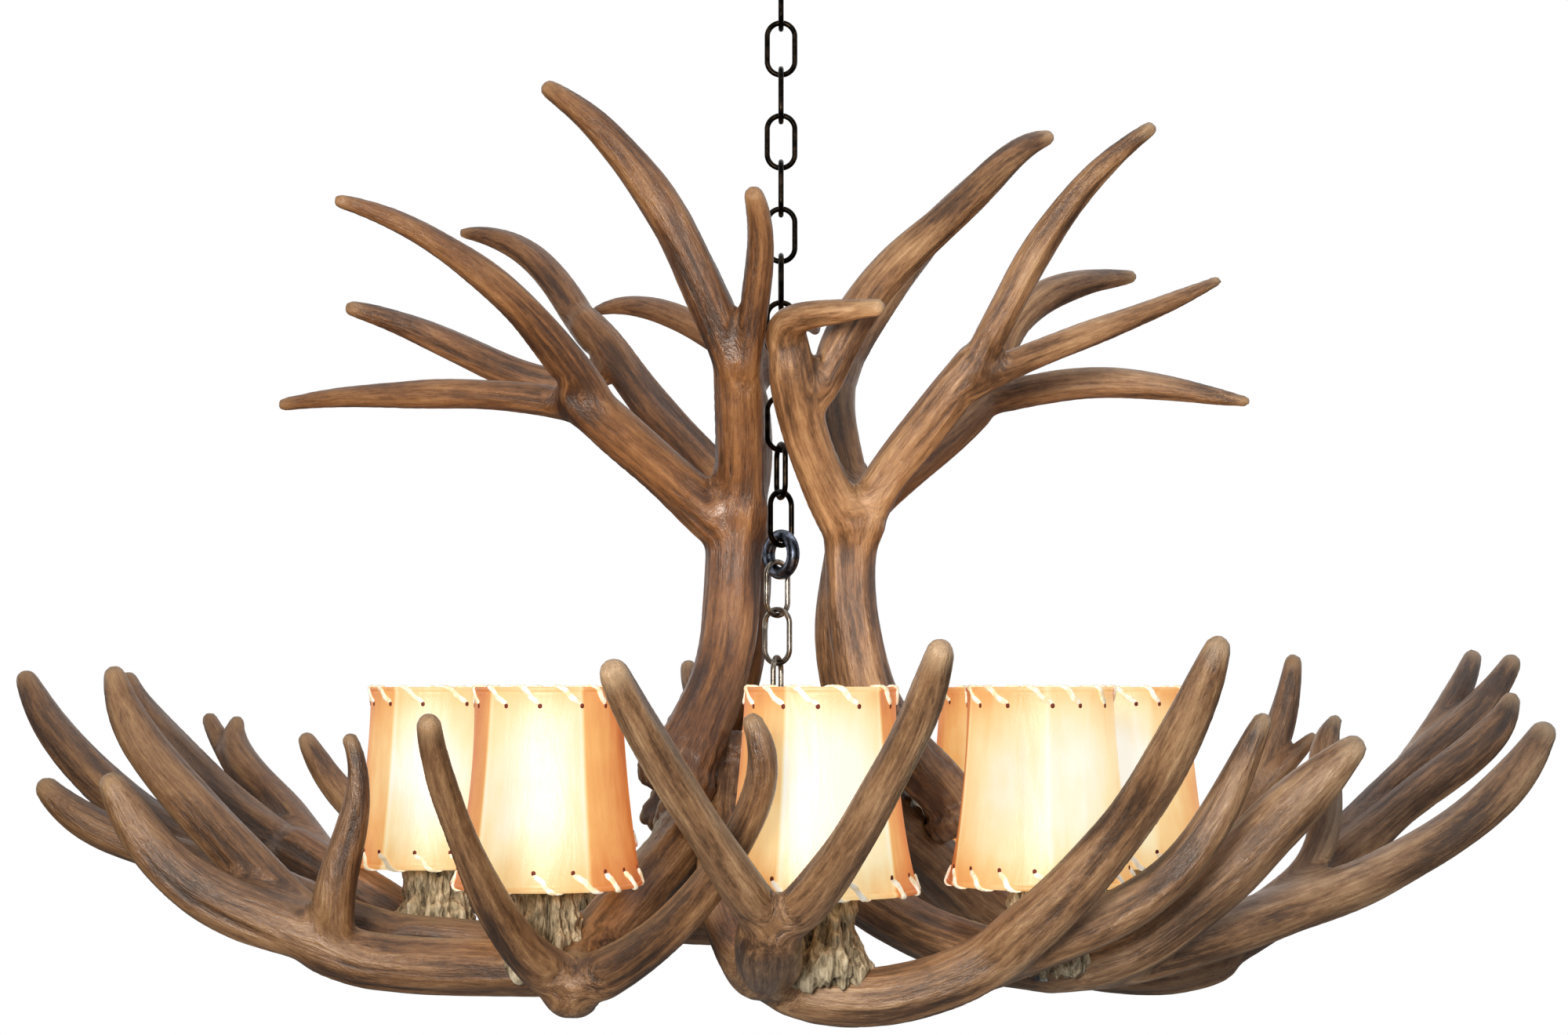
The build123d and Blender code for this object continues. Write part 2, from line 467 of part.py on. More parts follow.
# ---- Hub where the trunks and the lamp wires meet --------------------------------------------
HUB_WALL = 9.0
HUB_EDGE = 6.0                  # round the hub's top
HUB_COVER_THICKNESS = 4.0
HUB_COVER_EDGE = 2.5
HUB_COVER_GAP = 0.1
COVER_SCREW_RADIUS = 3.2
COVER_SCREW_HEIGHT = 2.0
with BuildPart() as wiring_hub:
    with BuildSketch(Plane((*BALANCE, RIM + HUB_BOTTOM))):
        Circle(HUB_RADIUS)
    extrude(amount=HUB_TOP - HUB_BOTTOM)
    with BuildSketch(Plane((*BALANCE, RIM + HUB_BOTTOM))):
        Circle(HUB_RADIUS - HUB_WALL)
    extrude(amount=HUB_TOP - HUB_BOTTOM - HUB_WALL, mode=Mode.SUBTRACT)
    fillet(wiring_hub.edges().group_by(Axis.Z)[-1], HUB_EDGE)
    for antler_part in finished.values():
        add(antler_part, mode=Mode.SUBTRACT)
wiring_hub.part.label = "wiring_hub"
export_step(wiring_hub.part, "parts/wiring_hub.step")

with BuildPart() as hub_cover:
    with BuildSketch(Plane((*BALANCE, RIM + HUB_BOTTOM - HUB_COVER_THICKNESS - HUB_COVER_GAP))):
        Circle(HUB_RADIUS)
    extrude(amount=HUB_COVER_THICKNESS)
    fillet(hub_cover.edges().group_by(Axis.Z)[0], HUB_COVER_EDGE)
hub_cover.part.label = "hub_cover"
export_step(hub_cover.part, "parts/hub_cover.step")

with BuildPart() as hub_cover_screws:
    with Locations((*BALANCE, RIM + HUB_BOTTOM - HUB_COVER_THICKNESS - 2 * HUB_COVER_GAP)):
        with PolarLocations(HUB_RADIUS - HUB_WALL / 2, 3):
            Cylinder(COVER_SCREW_RADIUS, COVER_SCREW_HEIGHT, align=(Align.CENTER, Align.CENTER, Align.MAX))
hub_cover_screws.part.label = "hub_cover_screws"
export_step(hub_cover_screws.part, "parts/hub_cover_screws.step")

# ---- Lamps -----------------------------------------------------------------------------------
light_centres = []
for azimuth in LIGHT_AZIMUTHS:
    lamp_x = BALANCE[0] + LIGHT_RADIUS * sin(radians(azimuth))
    lamp_y = BALANCE[1] - LIGHT_RADIUS * cos(radians(azimuth))
    light_centres.append((lamp_x, lamp_y))
FOOT = RIM - BARK_FOOT_DEPTH
BARK_TOP = FOOT + BARK_HEIGHT
SOCKET_PROUD = 10.0             # of the socket above its cup
SOCKET_GAP = 0.2                # round and under the socket in its cup
BASE_GAP = 0.4                  # round and under the bulb's base in the socket
BASE_DEPTH = 20.0               # of the bulb's base in the socket
SOCKET_BOTTOM = BARK_TOP - SOCKET_LENGTH + SOCKET_PROUD
SOCKET_TOP = SOCKET_BOTTOM + SOCKET_LENGTH

# Carved cups with a spreading root at the foot and a bored top that takes the socket. A hole
# down the middle passes the lamp's rod, and the foot is coped to sit over the antler under it.
BARK_STEPS = ((0.0, 0.9), (0.16, 1.0), (0.42, 0.74), (0.72, 0.69), (1.0, 0.66))   # up, out
with BuildPart() as bark_cups:
    for centre_x, centre_y in light_centres:
        for height_share, radius_share in BARK_STEPS:
            with BuildSketch(Plane((centre_x, centre_y, FOOT + height_share * BARK_HEIGHT))):
                Circle(radius_share * BARK_FOOT_RADIUS)
        loft()
        with BuildSketch(Plane((centre_x, centre_y, SOCKET_BOTTOM - SOCKET_GAP))):
            Circle(SOCKET_RADIUS + SOCKET_GAP)
        extrude(amount=SOCKET_LENGTH, mode=Mode.SUBTRACT)
        with BuildSketch(Plane((centre_x, centre_y, FOOT))):
            Circle(NIPPLE_DIAMETER / 2 + 2 * THREAD_GAP)
        extrude(amount=BARK_HEIGHT, mode=Mode.SUBTRACT)
    for antler_name, antler_part in finished.items():
        if antler_name.startswith("ring"):
            add(antler_part, mode=Mode.SUBTRACT)
bark_cups.part.label = "bark_cups"
export_step(bark_cups.part, "parts/bark_cups.step")

with BuildPart() as lamp_sockets:
    for centre_x, centre_y in light_centres:
        with BuildSketch(Plane((centre_x, centre_y, SOCKET_BOTTOM))):
            Circle(SOCKET_RADIUS)
        extrude(amount=SOCKET_LENGTH)
        with BuildSketch(Plane((centre_x, centre_y, SOCKET_TOP))):
            Circle(BULB_BASE_RADIUS + BASE_GAP)
        extrude(amount=-BASE_DEPTH - 5 * BASE_GAP, mode=Mode.SUBTRACT)
lamp_sockets.part.label = "lamp_sockets"
export_step(lamp_sockets.part, "parts/lamp_sockets.step")

# Hollow threaded rods that hold each socket and cup down on the antler under it.
ROD_IN_ANTLER = 6.0
with BuildPart() as socket_nipples:
    for centre_x, centre_y in light_centres:
        with BuildSketch(Plane((centre_x, centre_y, SOCKET_BOTTOM - 2 * SOCKET_GAP))):
            Circle(NIPPLE_DIAMETER / 2)
            Circle(NIPPLE_BORE / 2, mode=Mode.SUBTRACT)
        extrude(amount=FOOT - SOCKET_BOTTOM - ROD_IN_ANTLER)
socket_nipples.part.label = "socket_nipples"
export_step(socket_nipples.part, "parts/socket_nipples.step")

# Torpedo bulbs: a screw base in the socket and a drawn glass envelope above it.
BULB_FOOT = SOCKET_TOP + BASE_GAP
BULB_NECK = 2.0                 # the flare from the base to the glass
BULB_WIDEST = 0.36              # of the bulb's length
BULB_TAPER = (0.62, 0.74)       # shares of radius and length where it draws in
with BuildPart() as bulbs:
    for centre_x, centre_y in light_centres:
        with BuildSketch(Plane((centre_x, centre_y, BULB_FOOT), x_dir=(1, 0, 0), z_dir=(0, -1, 0))):
            with BuildLine():
                base_side = Polyline((0, -BASE_DEPTH), (BULB_BASE_RADIUS, -BASE_DEPTH),
                                     (BULB_BASE_RADIUS, 0), (BULB_BASE_RADIUS + BULB_NECK, BULB_NECK))
                envelope = Spline(base_side @ 1, (BULB_RADIUS, BULB_LENGTH * BULB_WIDEST),
                                  (BULB_RADIUS * BULB_TAPER[0], BULB_LENGTH * BULB_TAPER[1]),
                                  (0, BULB_LENGTH), tangents=((0.6, 1), (-1, 0)))
                Line(envelope @ 1, (0, -BASE_DEPTH))
            make_face()
        revolve(axis=Axis((centre_x, centre_y, 0), (0, 0, 1)))
bulbs.part.label = "bulbs"
export_step(bulbs.part, "parts/bulbs.step")

# Rawhide shades: eight soft-cornered sides drawn tight over two wire rings.
CORNER_SHARE = 0.28
SHADE_INSET = 0.4
RING_RISE = 5.0                 # a wire ring's middle from the shade's edge
CLIP_RADIUS = BULB_RADIUS + 1.8
CLIP_RISE = 48.0
RIB_STANDS_IN = (FRAME_WIRE + RIB_WIRE) / 2 + 0.15      # a ring's wire to a rib's, middle to middle
RIB_TURNS = (45, 135, 225, 315)                         # degrees round the shade
STRUT_TURNS = (90, 270)


def shade_apothem(height):
    """Axis to the middle of a shade's flat side, at a height above its bottom rim."""
    share = height / SHADE_HEIGHT
    radius = SHADE_BOTTOM_RADIUS + share * (SHADE_TOP_RADIUS - SHADE_BOTTOM_RADIUS)
    return radius * cos(pi / SHADE_SIDES)


# Both are made once, standing on the origin, and repeated at the lamps.
with BuildPart() as shade_pattern:
    for inset, mode in ((0.0, Mode.ADD), (SHADE_THICKNESS, Mode.SUBTRACT)):
        for height, radius in ((0.0, SHADE_BOTTOM_RADIUS), (SHADE_HEIGHT, SHADE_TOP_RADIUS)):
            with BuildSketch(Plane.XY.offset(height)) as outline:
                RegularPolygon(radius - inset, SHADE_SIDES, rotation=180 / SHADE_SIDES)
                fillet(outline.vertices(), CORNER_SHARE * radius)
        loft(ruled=True, mode=mode)

lower_ring = shade_apothem(RING_RISE) - SHADE_THICKNESS - SHADE_INSET - FRAME_WIRE
upper_ring = shade_apothem(SHADE_HEIGHT - RING_RISE) - SHADE_THICKNESS - SHADE_INSET - FRAME_WIRE
with BuildPart() as frame_pattern:
    for radius, height in ((lower_ring, RING_RISE), (upper_ring, SHADE_HEIGHT - RING_RISE),
                           (CLIP_RADIUS, CLIP_RISE)):
        with Locations((0, 0, height)):
            Torus(radius, FRAME_WIRE / 2)
    # Four ribs stand inside the two rings, and two struts carry the clip's ring from the upper one.
    for turn in RIB_TURNS + STRUT_TURNS:
        low_radius = lower_ring - RIB_STANDS_IN if turn in RIB_TURNS else CLIP_RADIUS + RIB_STANDS_IN
        low_height = RING_RISE if turn in RIB_TURNS else CLIP_RISE
        reach = Vector(cos(radians(turn)), sin(radians(turn)), 0)
        start = reach * low_radius + Vector(0, 0, low_height)
        finish = reach * (upper_ring - RIB_STANDS_IN) + Vector(0, 0, SHADE_HEIGHT - RING_RISE)
        with BuildSketch(Plane(start, z_dir=finish - start)):
            Circle(RIB_WIRE / 2)
        extrude(amount=(finish - start).length)

for number, (centre_x, centre_y) in enumerate(light_centres, start=1):
    stand = (centre_x, centre_y, RIM - SHADE_HEIGHT)
    with BuildPart() as shade:
        with Locations(stand):
            add(shade_pattern.part)
    shade.part.label = f"shade_{number}"
    export_step(shade.part, f"parts/shade_{number}.step")
    with BuildPart() as shade_frame:
        with Locations(stand):
            add(frame_pattern.part)
    shade_frame.part.label = f"shade_frame_{number}"
    export_step(shade_frame.part, f"parts/shade_frame_{number}.step")

# ---- Screws that draw the antlers together ---------------------------------------------------
SCREW_RADIUS = 3.0
SCREW_HEAD_RADIUS = 5.0
SCREW_HEAD_HEIGHT = 3.0
# (start, end) from the rim centre: the head is at the start
SCREW_RUNS = (
    ((-24, -24, -104), (-74, -84, -106)), ((-14, -28, -84), (-32, -84, -86)),
    ((10, -30, -100), (36, -88, -108)), ((26, -6, -96), (104, -14, -112)),
    ((24, 24, -104), (74, 84, -106)), ((14, 28, -84), (32, 84, -86)),
    ((-26, 16, -112), (-78, 22, -138)), ((-20, -14, -118), (-84, -46, -136)),
    ((-66, -82, -52), (-62, -44, -96)), ((-78, 58, -84), (-60, 28, -122)),
    ((110, -32, -74), (88, -22, -104)), ((84, 62, -84), (62, 60, -108)),
)
with BuildPart() as antler_screws:
    for start, finish in SCREW_RUNS:
        run = Vector(*finish) - Vector(*start)
        head_plane = Plane((start[0] + BALANCE[0], start[1] + BALANCE[1], start[2] + RIM), z_dir=run)
        with BuildSketch(head_plane):
            Circle(SCREW_RADIUS)
        extrude(amount=run.length)
        with BuildSketch(head_plane):
            Circle(SCREW_HEAD_RADIUS)
        extrude(amount=SCREW_HEAD_HEIGHT)
antler_screws.part.label = "antler_screws"
export_step(antler_screws.part, "parts/antler_screws.step")
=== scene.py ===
import json
from math import atan2, cos, exp, pi, radians, sin

import bpy
import numpy as np
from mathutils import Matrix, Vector, noise

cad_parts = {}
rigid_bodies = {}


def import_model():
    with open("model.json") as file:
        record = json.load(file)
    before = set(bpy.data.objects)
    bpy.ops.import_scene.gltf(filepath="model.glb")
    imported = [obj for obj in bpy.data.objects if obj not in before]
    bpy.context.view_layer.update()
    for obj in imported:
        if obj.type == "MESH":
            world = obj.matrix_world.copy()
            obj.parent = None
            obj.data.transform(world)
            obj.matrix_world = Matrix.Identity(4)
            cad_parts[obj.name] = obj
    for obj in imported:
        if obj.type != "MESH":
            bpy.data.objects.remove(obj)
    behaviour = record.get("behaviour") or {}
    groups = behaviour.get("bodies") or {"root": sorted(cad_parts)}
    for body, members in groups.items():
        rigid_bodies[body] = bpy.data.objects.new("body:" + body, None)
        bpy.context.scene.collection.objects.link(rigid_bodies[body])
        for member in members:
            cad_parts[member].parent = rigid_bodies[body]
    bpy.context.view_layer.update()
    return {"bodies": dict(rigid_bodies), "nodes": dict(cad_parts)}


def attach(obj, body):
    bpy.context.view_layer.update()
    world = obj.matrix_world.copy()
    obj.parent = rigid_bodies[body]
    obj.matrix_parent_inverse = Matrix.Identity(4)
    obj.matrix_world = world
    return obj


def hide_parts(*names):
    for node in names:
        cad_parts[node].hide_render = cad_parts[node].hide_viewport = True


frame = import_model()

nodes = frame["nodes"]

# ---- Studio ---------------------------------------------------------------------------------
# A white paper sweep, one large soft lamp beside the lens and one overhead, as for a catalogue
# picture. The lens looks up by four degrees from the height of the shades' upper rims.
RIM_BELOW_CEILING = 0.5652
RING_MIDDLE = Vector((-0.0006, 0.0116, -RIM_BELOW_CEILING))
LENS_OFFSET = Vector((0.0026, -1.600, 0.0))
LENS_PITCH = 4.05
LENS_LENGTH = 55.386            # mm
SENSOR_WIDTH = 36.0
SIGHT = 200.0                   # metres that the lens sees

scene = bpy.context.scene
scene.view_settings.view_transform = "Standard"


def paint(code):
    """An sRGB hex colour as the linear colour that a shader takes."""
    parts = [int(code[i:i + 2], 16) / 255 for i in (1, 3, 5)]
    return [c / 12.92 if c <= 0.04045 else ((c + 0.055) / 1.055) ** 2.4 for c in parts] + [1.0]


def put(tree, kind, sockets=None, stops=None, **settings):
    """Adds one node: its settings, its sockets' values or links, and a colour ramp's stops."""
    node = tree.nodes.new(kind)
    for name, value in settings.items():
        setattr(node, name, value)
    for name, value in (sockets or {}).items():
        if isinstance(value, bpy.types.NodeSocket):
            tree.links.new(value, node.inputs[name])
        else:
            node.inputs[name].default_value = value
    if stops:
        ramp = node.color_ramp
        while len(ramp.elements) < len(stops):
            ramp.elements.new(0.5)
        for element, (place, code) in zip(ramp.elements, stops):
            element.position = place
            element.color = paint(code)
    return node


def new_material(name):
    """An empty material: its node tree and the output that its surface goes to."""
    material = bpy.data.materials.new(name)
    material.use_nodes = True
    material.node_tree.nodes.clear()
    return material, material.node_tree, put(material.node_tree, "ShaderNodeOutputMaterial")


lens = bpy.data.objects.new("lens", bpy.data.cameras.new("lens"))
lens.location = RING_MIDDLE + LENS_OFFSET
lens.rotation_euler = (radians(90 + LENS_PITCH), 0, 0)
lens.data.lens = LENS_LENGTH
lens.data.sensor_width = SENSOR_WIDTH
lens.data.clip_end = SIGHT
scene.collection.objects.link(lens)
scene.camera = lens

AIM = Vector((0.0, 0.0, -0.52))
for name, place, size, power, tint in (             # metres and watts
        ("key", (-0.30, -1.75, -0.35), 0.35, 29.0, "#fff8ee"),
        ("overhead", (0.5, 0.3, 1.3), 1.4, 6.0, "#f6f8ff"),
        ("side", (2.0, -0.9, -0.3), 1.0, 4.0, "#ffffff")):
    lamp = bpy.data.lights.new(name, "AREA")
    lamp.size = size
    lamp.energy = power
    lamp.color = paint(tint)[:3]
    holder = bpy.data.objects.new(name, lamp)
    holder.location = place
    holder.rotation_euler = (AIM - Vector(place)).to_track_quat("-Z", "Y").to_euler()
    scene.collection.objects.link(holder)

PAPER = "#f4f3f0"
SKY_FILL = 0.13
world = bpy.data.worlds.new("studio")
world.use_nodes = True
scene.world = world
tree = world.node_tree
tree.nodes.clear()
rays = put(tree, "ShaderNodeLightPath")
seen = put(tree, "ShaderNodeMath", {0: rays.outputs["Is Camera Ray"], 1: rays.outputs["Is Glossy Ray"]},
           operation="MAXIMUM")
seen = put(tree, "ShaderNodeMath", {0: seen.outputs[0], 1: rays.outputs["Is Transmission Ray"]},
           operation="MAXIMUM")
fill = put(tree, "ShaderNodeBackground", {"Color": paint("#f3f5fa"), "Strength": SKY_FILL})
white = put(tree, "ShaderNodeBackground", {"Color": (1, 1, 1, 1), "Strength": 1.0})
either = put(tree, "ShaderNodeMixShader", {0: seen.outputs[0], 1: fill.outputs[0], 2: white.outputs[0]})
put(tree, "ShaderNodeOutputWorld", {"Surface": either.outputs[0]})

FLOOR_HEIGHT = -2.2
FLOOR_HALF = 40.0
floor_mesh = bpy.data.meshes.new("floor")
floor_mesh.from_pydata([(x * FLOOR_HALF, y * FLOOR_HALF, FLOOR_HEIGHT) for x, y in
                        ((-1, -1), (1, -1), (1, 1), (-1, 1))], [], [(0, 1, 2, 3)])
floor = bpy.data.objects.new("floor", floor_mesh)
scene.collection.objects.link(floor)
paper, tree, out = new_material("white_paper")
rays = put(tree, "ShaderNodeLightPath")
matt = put(tree, "ShaderNodeBsdfDiffuse", {"Color": paint(PAPER)})
lit = put(tree, "ShaderNodeEmission", {"Color": (1, 1, 1, 1), "Strength": 1.0})
mixed = put(tree, "ShaderNodeMixShader", {0: rays.outputs["Is Camera Ray"], 1: matt.outputs[0],
                                          2: lit.outputs[0]})
tree.links.new(mixed.outputs[0], out.inputs["Surface"])
floor_mesh.materials.append(paper)

# ---- Antlers --------------------------------------------------------------------------------
# Twelve antlers, cast in resin from real mule deer antlers: four stand up as the crown and eight
# lie in the ring. The casting keeps the furrows and pearls of antler, and the stain gathers in
# them: milk chocolate with tan streaks, paler at the rubbed tips, and darker in the furrows, partly
# from the stain and partly from painted shade. A centre line is a list of (x, y, z, diameter) in
# millimetres from the middle of the ring, base to tip.
FRONT_LEFT_UPPER = {
    "trunk": [(-66, -80, -60, 45), (-52, -76, -28, 40), (-40, -62, 4, 37), (-32, -50, 44, 36),
              (-30, -46, 84, 37), (-29, -46, 116, 44)],
    "branch": [(-32, -46, 102, 37), (-58, -52, 124, 33), (-88, -62, 150, 31), (-112, -72, 170, 32),
               (-130, -78, 186, 30)],
    "branch_high": [(-114, -74, 174, 25), (-138, -92, 210, 26), (-172, -116, 246, 22),
                    (-216, -138, 276, 16), (-266, -158, 294, 9)],
    "branch_low": [(-112, -74, 172, 27), (-152, -66, 184, 21), (-200, -56, 189, 20),
                   (-258, -42, 190, 17), (-326, -24, 186, 9)],
    "stem": [(-28, -46, 100, 37), (-26, -56, 140, 33), (-26, -68, 178, 32), (-28, -80, 212, 33)],
    "stem_left": [(-28, -80, 200, 26), (-46, -90, 248, 28), (-74, -98, 302, 26),
                  (-106, -100, 344, 21), (-146, -98, 378, 12)],
    "stem_right": [(-22, -84, 200, 20), (-16, -98, 240, 19), (-12, -112, 276, 18),
                   (-16, -128, 304, 13)],
}
FRONT_RIGHT_UPPER = {
    "trunk": [(116, -30, -84, 38), (84, -38, -44, 38), (58, -44, -6, 37), (48, -44, 40, 34),
              (46, -42, 80, 34), (48, -42, 108, 42)],
    "branch": [(48, -42, 98, 33), (64, -48, 128, 28), (86, -56, 158, 29), (110, -66, 188, 29),
               (126, -72, 208, 28)],
    "branch_high": [(118, -70, 196, 22), (142, -82, 238, 21), (168, -92, 284, 20),
                    (198, -100, 322, 16), (232, -108, 350, 10)],
    "branch_low": [(120, -70, 192, 23), (154, -66, 209, 19), (200, -56, 228, 17),
                   (248, -46, 248, 13), (286, -36, 266, 7)],
    "stem": [(48, -42, 96, 33), (30, -56, 130, 31), (16, -70, 164, 30), (8, -84, 196, 30),
             (6, -92, 220, 25)],
    "stem_cross": [(5, -88, 208, 23), (6, -100, 227, 23), (20, -116, 231, 18), (42, -128, 232, 14),
                   (60, -140, 232, 11)],
    "stem_high": [(18, -78, 178, 20), (36, -78, 212, 25), (62, -76, 256, 26), (104, -68, 298, 24),
                  (140, -60, 334, 21), (174, -50, 358, 11)],
}
REAR_LEFT_UPPER = {
    "trunk": [(-78, 60, -92, 35), (-50, 48, -38, 35), (-30, 34, 14, 36), (-24, 28, 62, 36),
              (-24, 28, 100, 36), (-28, 32, 130, 38)],
    "branch": [(-26, 32, 120, 33), (-54, 44, 156, 29), (-88, 62, 194, 28), (-116, 78, 232, 27),
               (-138, 88, 258, 25)],
    "branch_high": [(-128, 84, 242, 23), (-150, 98, 274, 23), (-178, 112, 308, 20),
                    (-204, 124, 324, 16), (-230, 134, 330, 8)],
    "branch_low": [(-118, 80, 226, 22), (-162, 80, 214, 22), (-216, 66, 232, 22),
                   (-258, 52, 250, 18), (-294, 40, 260, 11)],
    "stem": [(-26, 32, 120, 33), (-20, 52, 166, 30), (-24, 74, 206, 28), (-36, 96, 236, 27)],
    "stem_left": [(-26, 78, 222, 22), (-48, 104, 250, 21), (-76, 128, 268, 19),
                  (-104, 150, 279, 16), (-138, 172, 278, 7)],
    "stem_back": [(-24, 74, 206, 22), (-6, 100, 238, 21), (8, 130, 262, 19), (20, 164, 270, 15),
                  (26, 196, 268, 8)],
}
REAR_RIGHT_UPPER = {
    "trunk": [(84, 62, -92, 33), (58, 50, -38, 33), (42, 40, 10, 32), (40, 34, 52, 32),
              (46, 32, 94, 32), (54, 32, 124, 37)],
    "branch": [(50, 32, 114, 32), (80, 42, 144, 29), (108, 56, 168, 28), (136, 70, 194, 27),
               (156, 80, 216, 26)],
    "branch_high": [(146, 76, 204, 22), (160, 92, 248, 23), (184, 110, 276, 24),
                    (218, 128, 292, 20), (256, 146, 300, 10)],
    "branch_low": [(144, 74, 200, 23), (182, 66, 208, 23), (224, 54, 210, 21), (270, 40, 204, 17),
                   (316, 26, 194, 7)],
    "stem": [(50, 34, 114, 32), (44, 44, 152, 29), (38, 60, 194, 27), (46, 80, 226, 25)],
    "stem_out": [(42, 72, 212, 22), (60, 94, 252, 22), (87, 114, 295, 21), (120, 138, 338, 16),
                 (150, 160, 372, 8)],
    "stem_back": [(44, 74, 212, 21), (48, 116, 242, 20), (54, 156, 264, 17), (60, 184, 278, 14),
                  (66, 210, 286, 8)],
}
FRONT_RIGHT_LOWER = {
    "trunk": [(-28, -40, -42, 42), (-32, -62, -76, 40), (-32, -104, -104, 38), (-28, -160, -136, 35),
              (-18, -204, -154, 34), (-6, -236, -158, 36)],
    "fork": [(-6, -230, -154, 36), (-6, -274, -145, 37), (-5, -316, -128, 36)],
    "fork_left": [(2, -308, -132, 27), (-20, -336, -102, 24), (-44, -370, -62, 21),
                  (-66, -404, -22, 20), (-80, -430, 8, 15)],
    "fork_right": [(-10, -308, -132, 27), (22, -336, -102, 24), (46, -370, -62, 21),
                   (66, -404, -20, 20), (78, -436, 18, 14)],
    "beam": [(-12, -214, -156, 31), (16, -222, -172, 32), (60, -228, -173, 33),
             (104, -236, -159, 33), (130, -242, -142, 31)],
    "beam_outer": [(116, -238, -152, 29), (166, -262, -104, 30), (200, -284, -56, 27),
                   (220, -308, -14, 24), (232, -324, 22, 14)],
    "beam_inner": [(118, -234, -156, 26), (166, -224, -138, 28), (214, -222, -112, 26),
                   (248, -224, -72, 22), (274, -228, -18, 11)],
}
FRONT_LEFT_LOWER = {
    "trunk": [(-56, -38, -86, 43), (-68, -78, -104, 39), (-88, -124, -128, 38),
              (-110, -164, -152, 36), (-118, -196, -166, 37)],
    "fork": [(-117, -192, -165, 35), (-116, -224, -166, 37), (-114, -254, -164, 36)],
    "fork_left": [(-106, -248, -166, 30), (-140, -270, -142, 25), (-162, -310, -94, 18),
                  (-174, -344, -50, 16), (-178, -370, -18, 13)],
    "fork_right": [(-124, -248, -166, 31), (-84, -262, -150, 27), (-48, -282, -118, 23),
                   (-24, -296, -84, 20), (-10, -306, -50, 18), (-14, -310, -18, 12)],
    "beam": [(-108, -180, -158, 32), (-144, -180, -163, 33), (-190, -172, -163, 33),
             (-238, -164, -161, 34), (-276, -162, -148, 33)],
    "beam_low": [(-258, -163, -155, 31), (-308, -162, -134, 35), (-348, -164, -114, 31),
                 (-376, -166, -86, 26), (-394, -170, -56, 16)],
    "beam_high": [(-260, -160, -150, 28), (-306, -140, -118, 31), (-348, -124, -80, 29),
                  (-388, -112, -38, 26), (-412, -104, 8, 14)],
    "upright": [(-260, -167, -150, 23), (-258, -172, -106, 24), (-248, -176, -66, 16),
                (-252, -178, -30, 10)],
}
RIGHT_FRONT_LOWER = {
    "trunk": [(12, -44, -84, 40), (22, -70, -96, 40), (48, -100, -124, 37), (84, -124, -146, 35),
              (124, -144, -158, 34), (164, -156, -164, 33)],
    "beam_upper": [(154, -152, -164, 31), (206, -160, -152, 33), (252, -172, -118, 34),
                   (294, -186, -74, 32), (332, -200, -34, 16)],
    "beam_outer": [(152, -151, -164, 28), (224, -138, -158, 31), (294, -118, -140, 30),
                   (372, -96, -114, 28), (436, -76, -80, 27), (486, -60, -28, 17)],
    "upright": [(268, -124, -148, 19), (312, -100, -126, 21), (340, -84, -84, 20),
                (344, -72, -40, 19), (352, -66, -20, 9)],
}
RIGHT_LOWER = {
    "trunk": [(66, -10, -82, 43), (96, -14, -108, 39), (136, -8, -144, 37), (182, -2, -172, 36),
              (234, 4, -184, 34), (290, 8, -176, 32)],
    "beam": [(270, 6, -178, 31), (318, 8, -156, 30), (360, 10, -120, 29)],
    "beam_low": [(346, 10, -130, 26), (400, 16, -90, 27), (448, 22, -54, 26), (480, 26, -28, 22),
                 (492, 28, -8, 13)],
    "beam_high": [(348, 14, -130, 26), (394, 40, -86, 26), (444, 62, -46, 26), (488, 80, -10, 22),
                  (512, 92, 18, 14)],
    "beam_back": [(390, 38, -90, 19), (446, 80, -42, 21), (476, 104, -6, 20), (494, 124, 22, 13)],
}
LEFT_REAR_LOWER = {
    "trunk": [(-46, 30, -104, 40), (-72, 22, -138, 37), (-132, 8, -167, 35), (-194, 6, -172, 34),
              (-254, 10, -152, 33)],
    "beam": [(-240, 8, -154, 32), (-294, 14, -124, 31), (-326, 20, -106, 30)],
    "beam_low": [(-310, 20, -114, 28), (-358, 40, -90, 29), (-404, 62, -54, 27),
                 (-438, 78, -22, 23), (-456, 90, 6, 13)],
    "beam_high": [(-292, 16, -124, 24), (-332, 60, -92, 26), (-370, 96, -58, 22),
                  (-386, 112, -38, 19), (-386, 119, -24, 11)],
    "beam_back": [(-306, 24, -118, 23), (-346, 84, -94, 24), (-384, 112, -56, 19),
                  (-408, 130, -22, 11)],
}
LEFT_FRONT_LOWER = {
    "trunk": [(-44, -26, -112, 40), (-80, -46, -140, 37), (-126, -72, -158, 35),
              (-182, -92, -160, 34), (-238, -96, -154, 32)],
    "beam": [(-224, -96, -156, 31), (-286, -84, -140, 31), (-336, -70, -116, 30)],
    "beam_high": [(-320, -74, -124, 28), (-376, -58, -98, 28), (-432, -40, -64, 27),
                  (-472, -26, -26, 23), (-494, -16, 6, 14)],
    "beam_low": [(-312, -78, -128, 26), (-360, -84, -110, 26), (-402, -86, -96, 25),
                 (-436, -86, -80, 22), (-458, -86, -62, 15)],
}
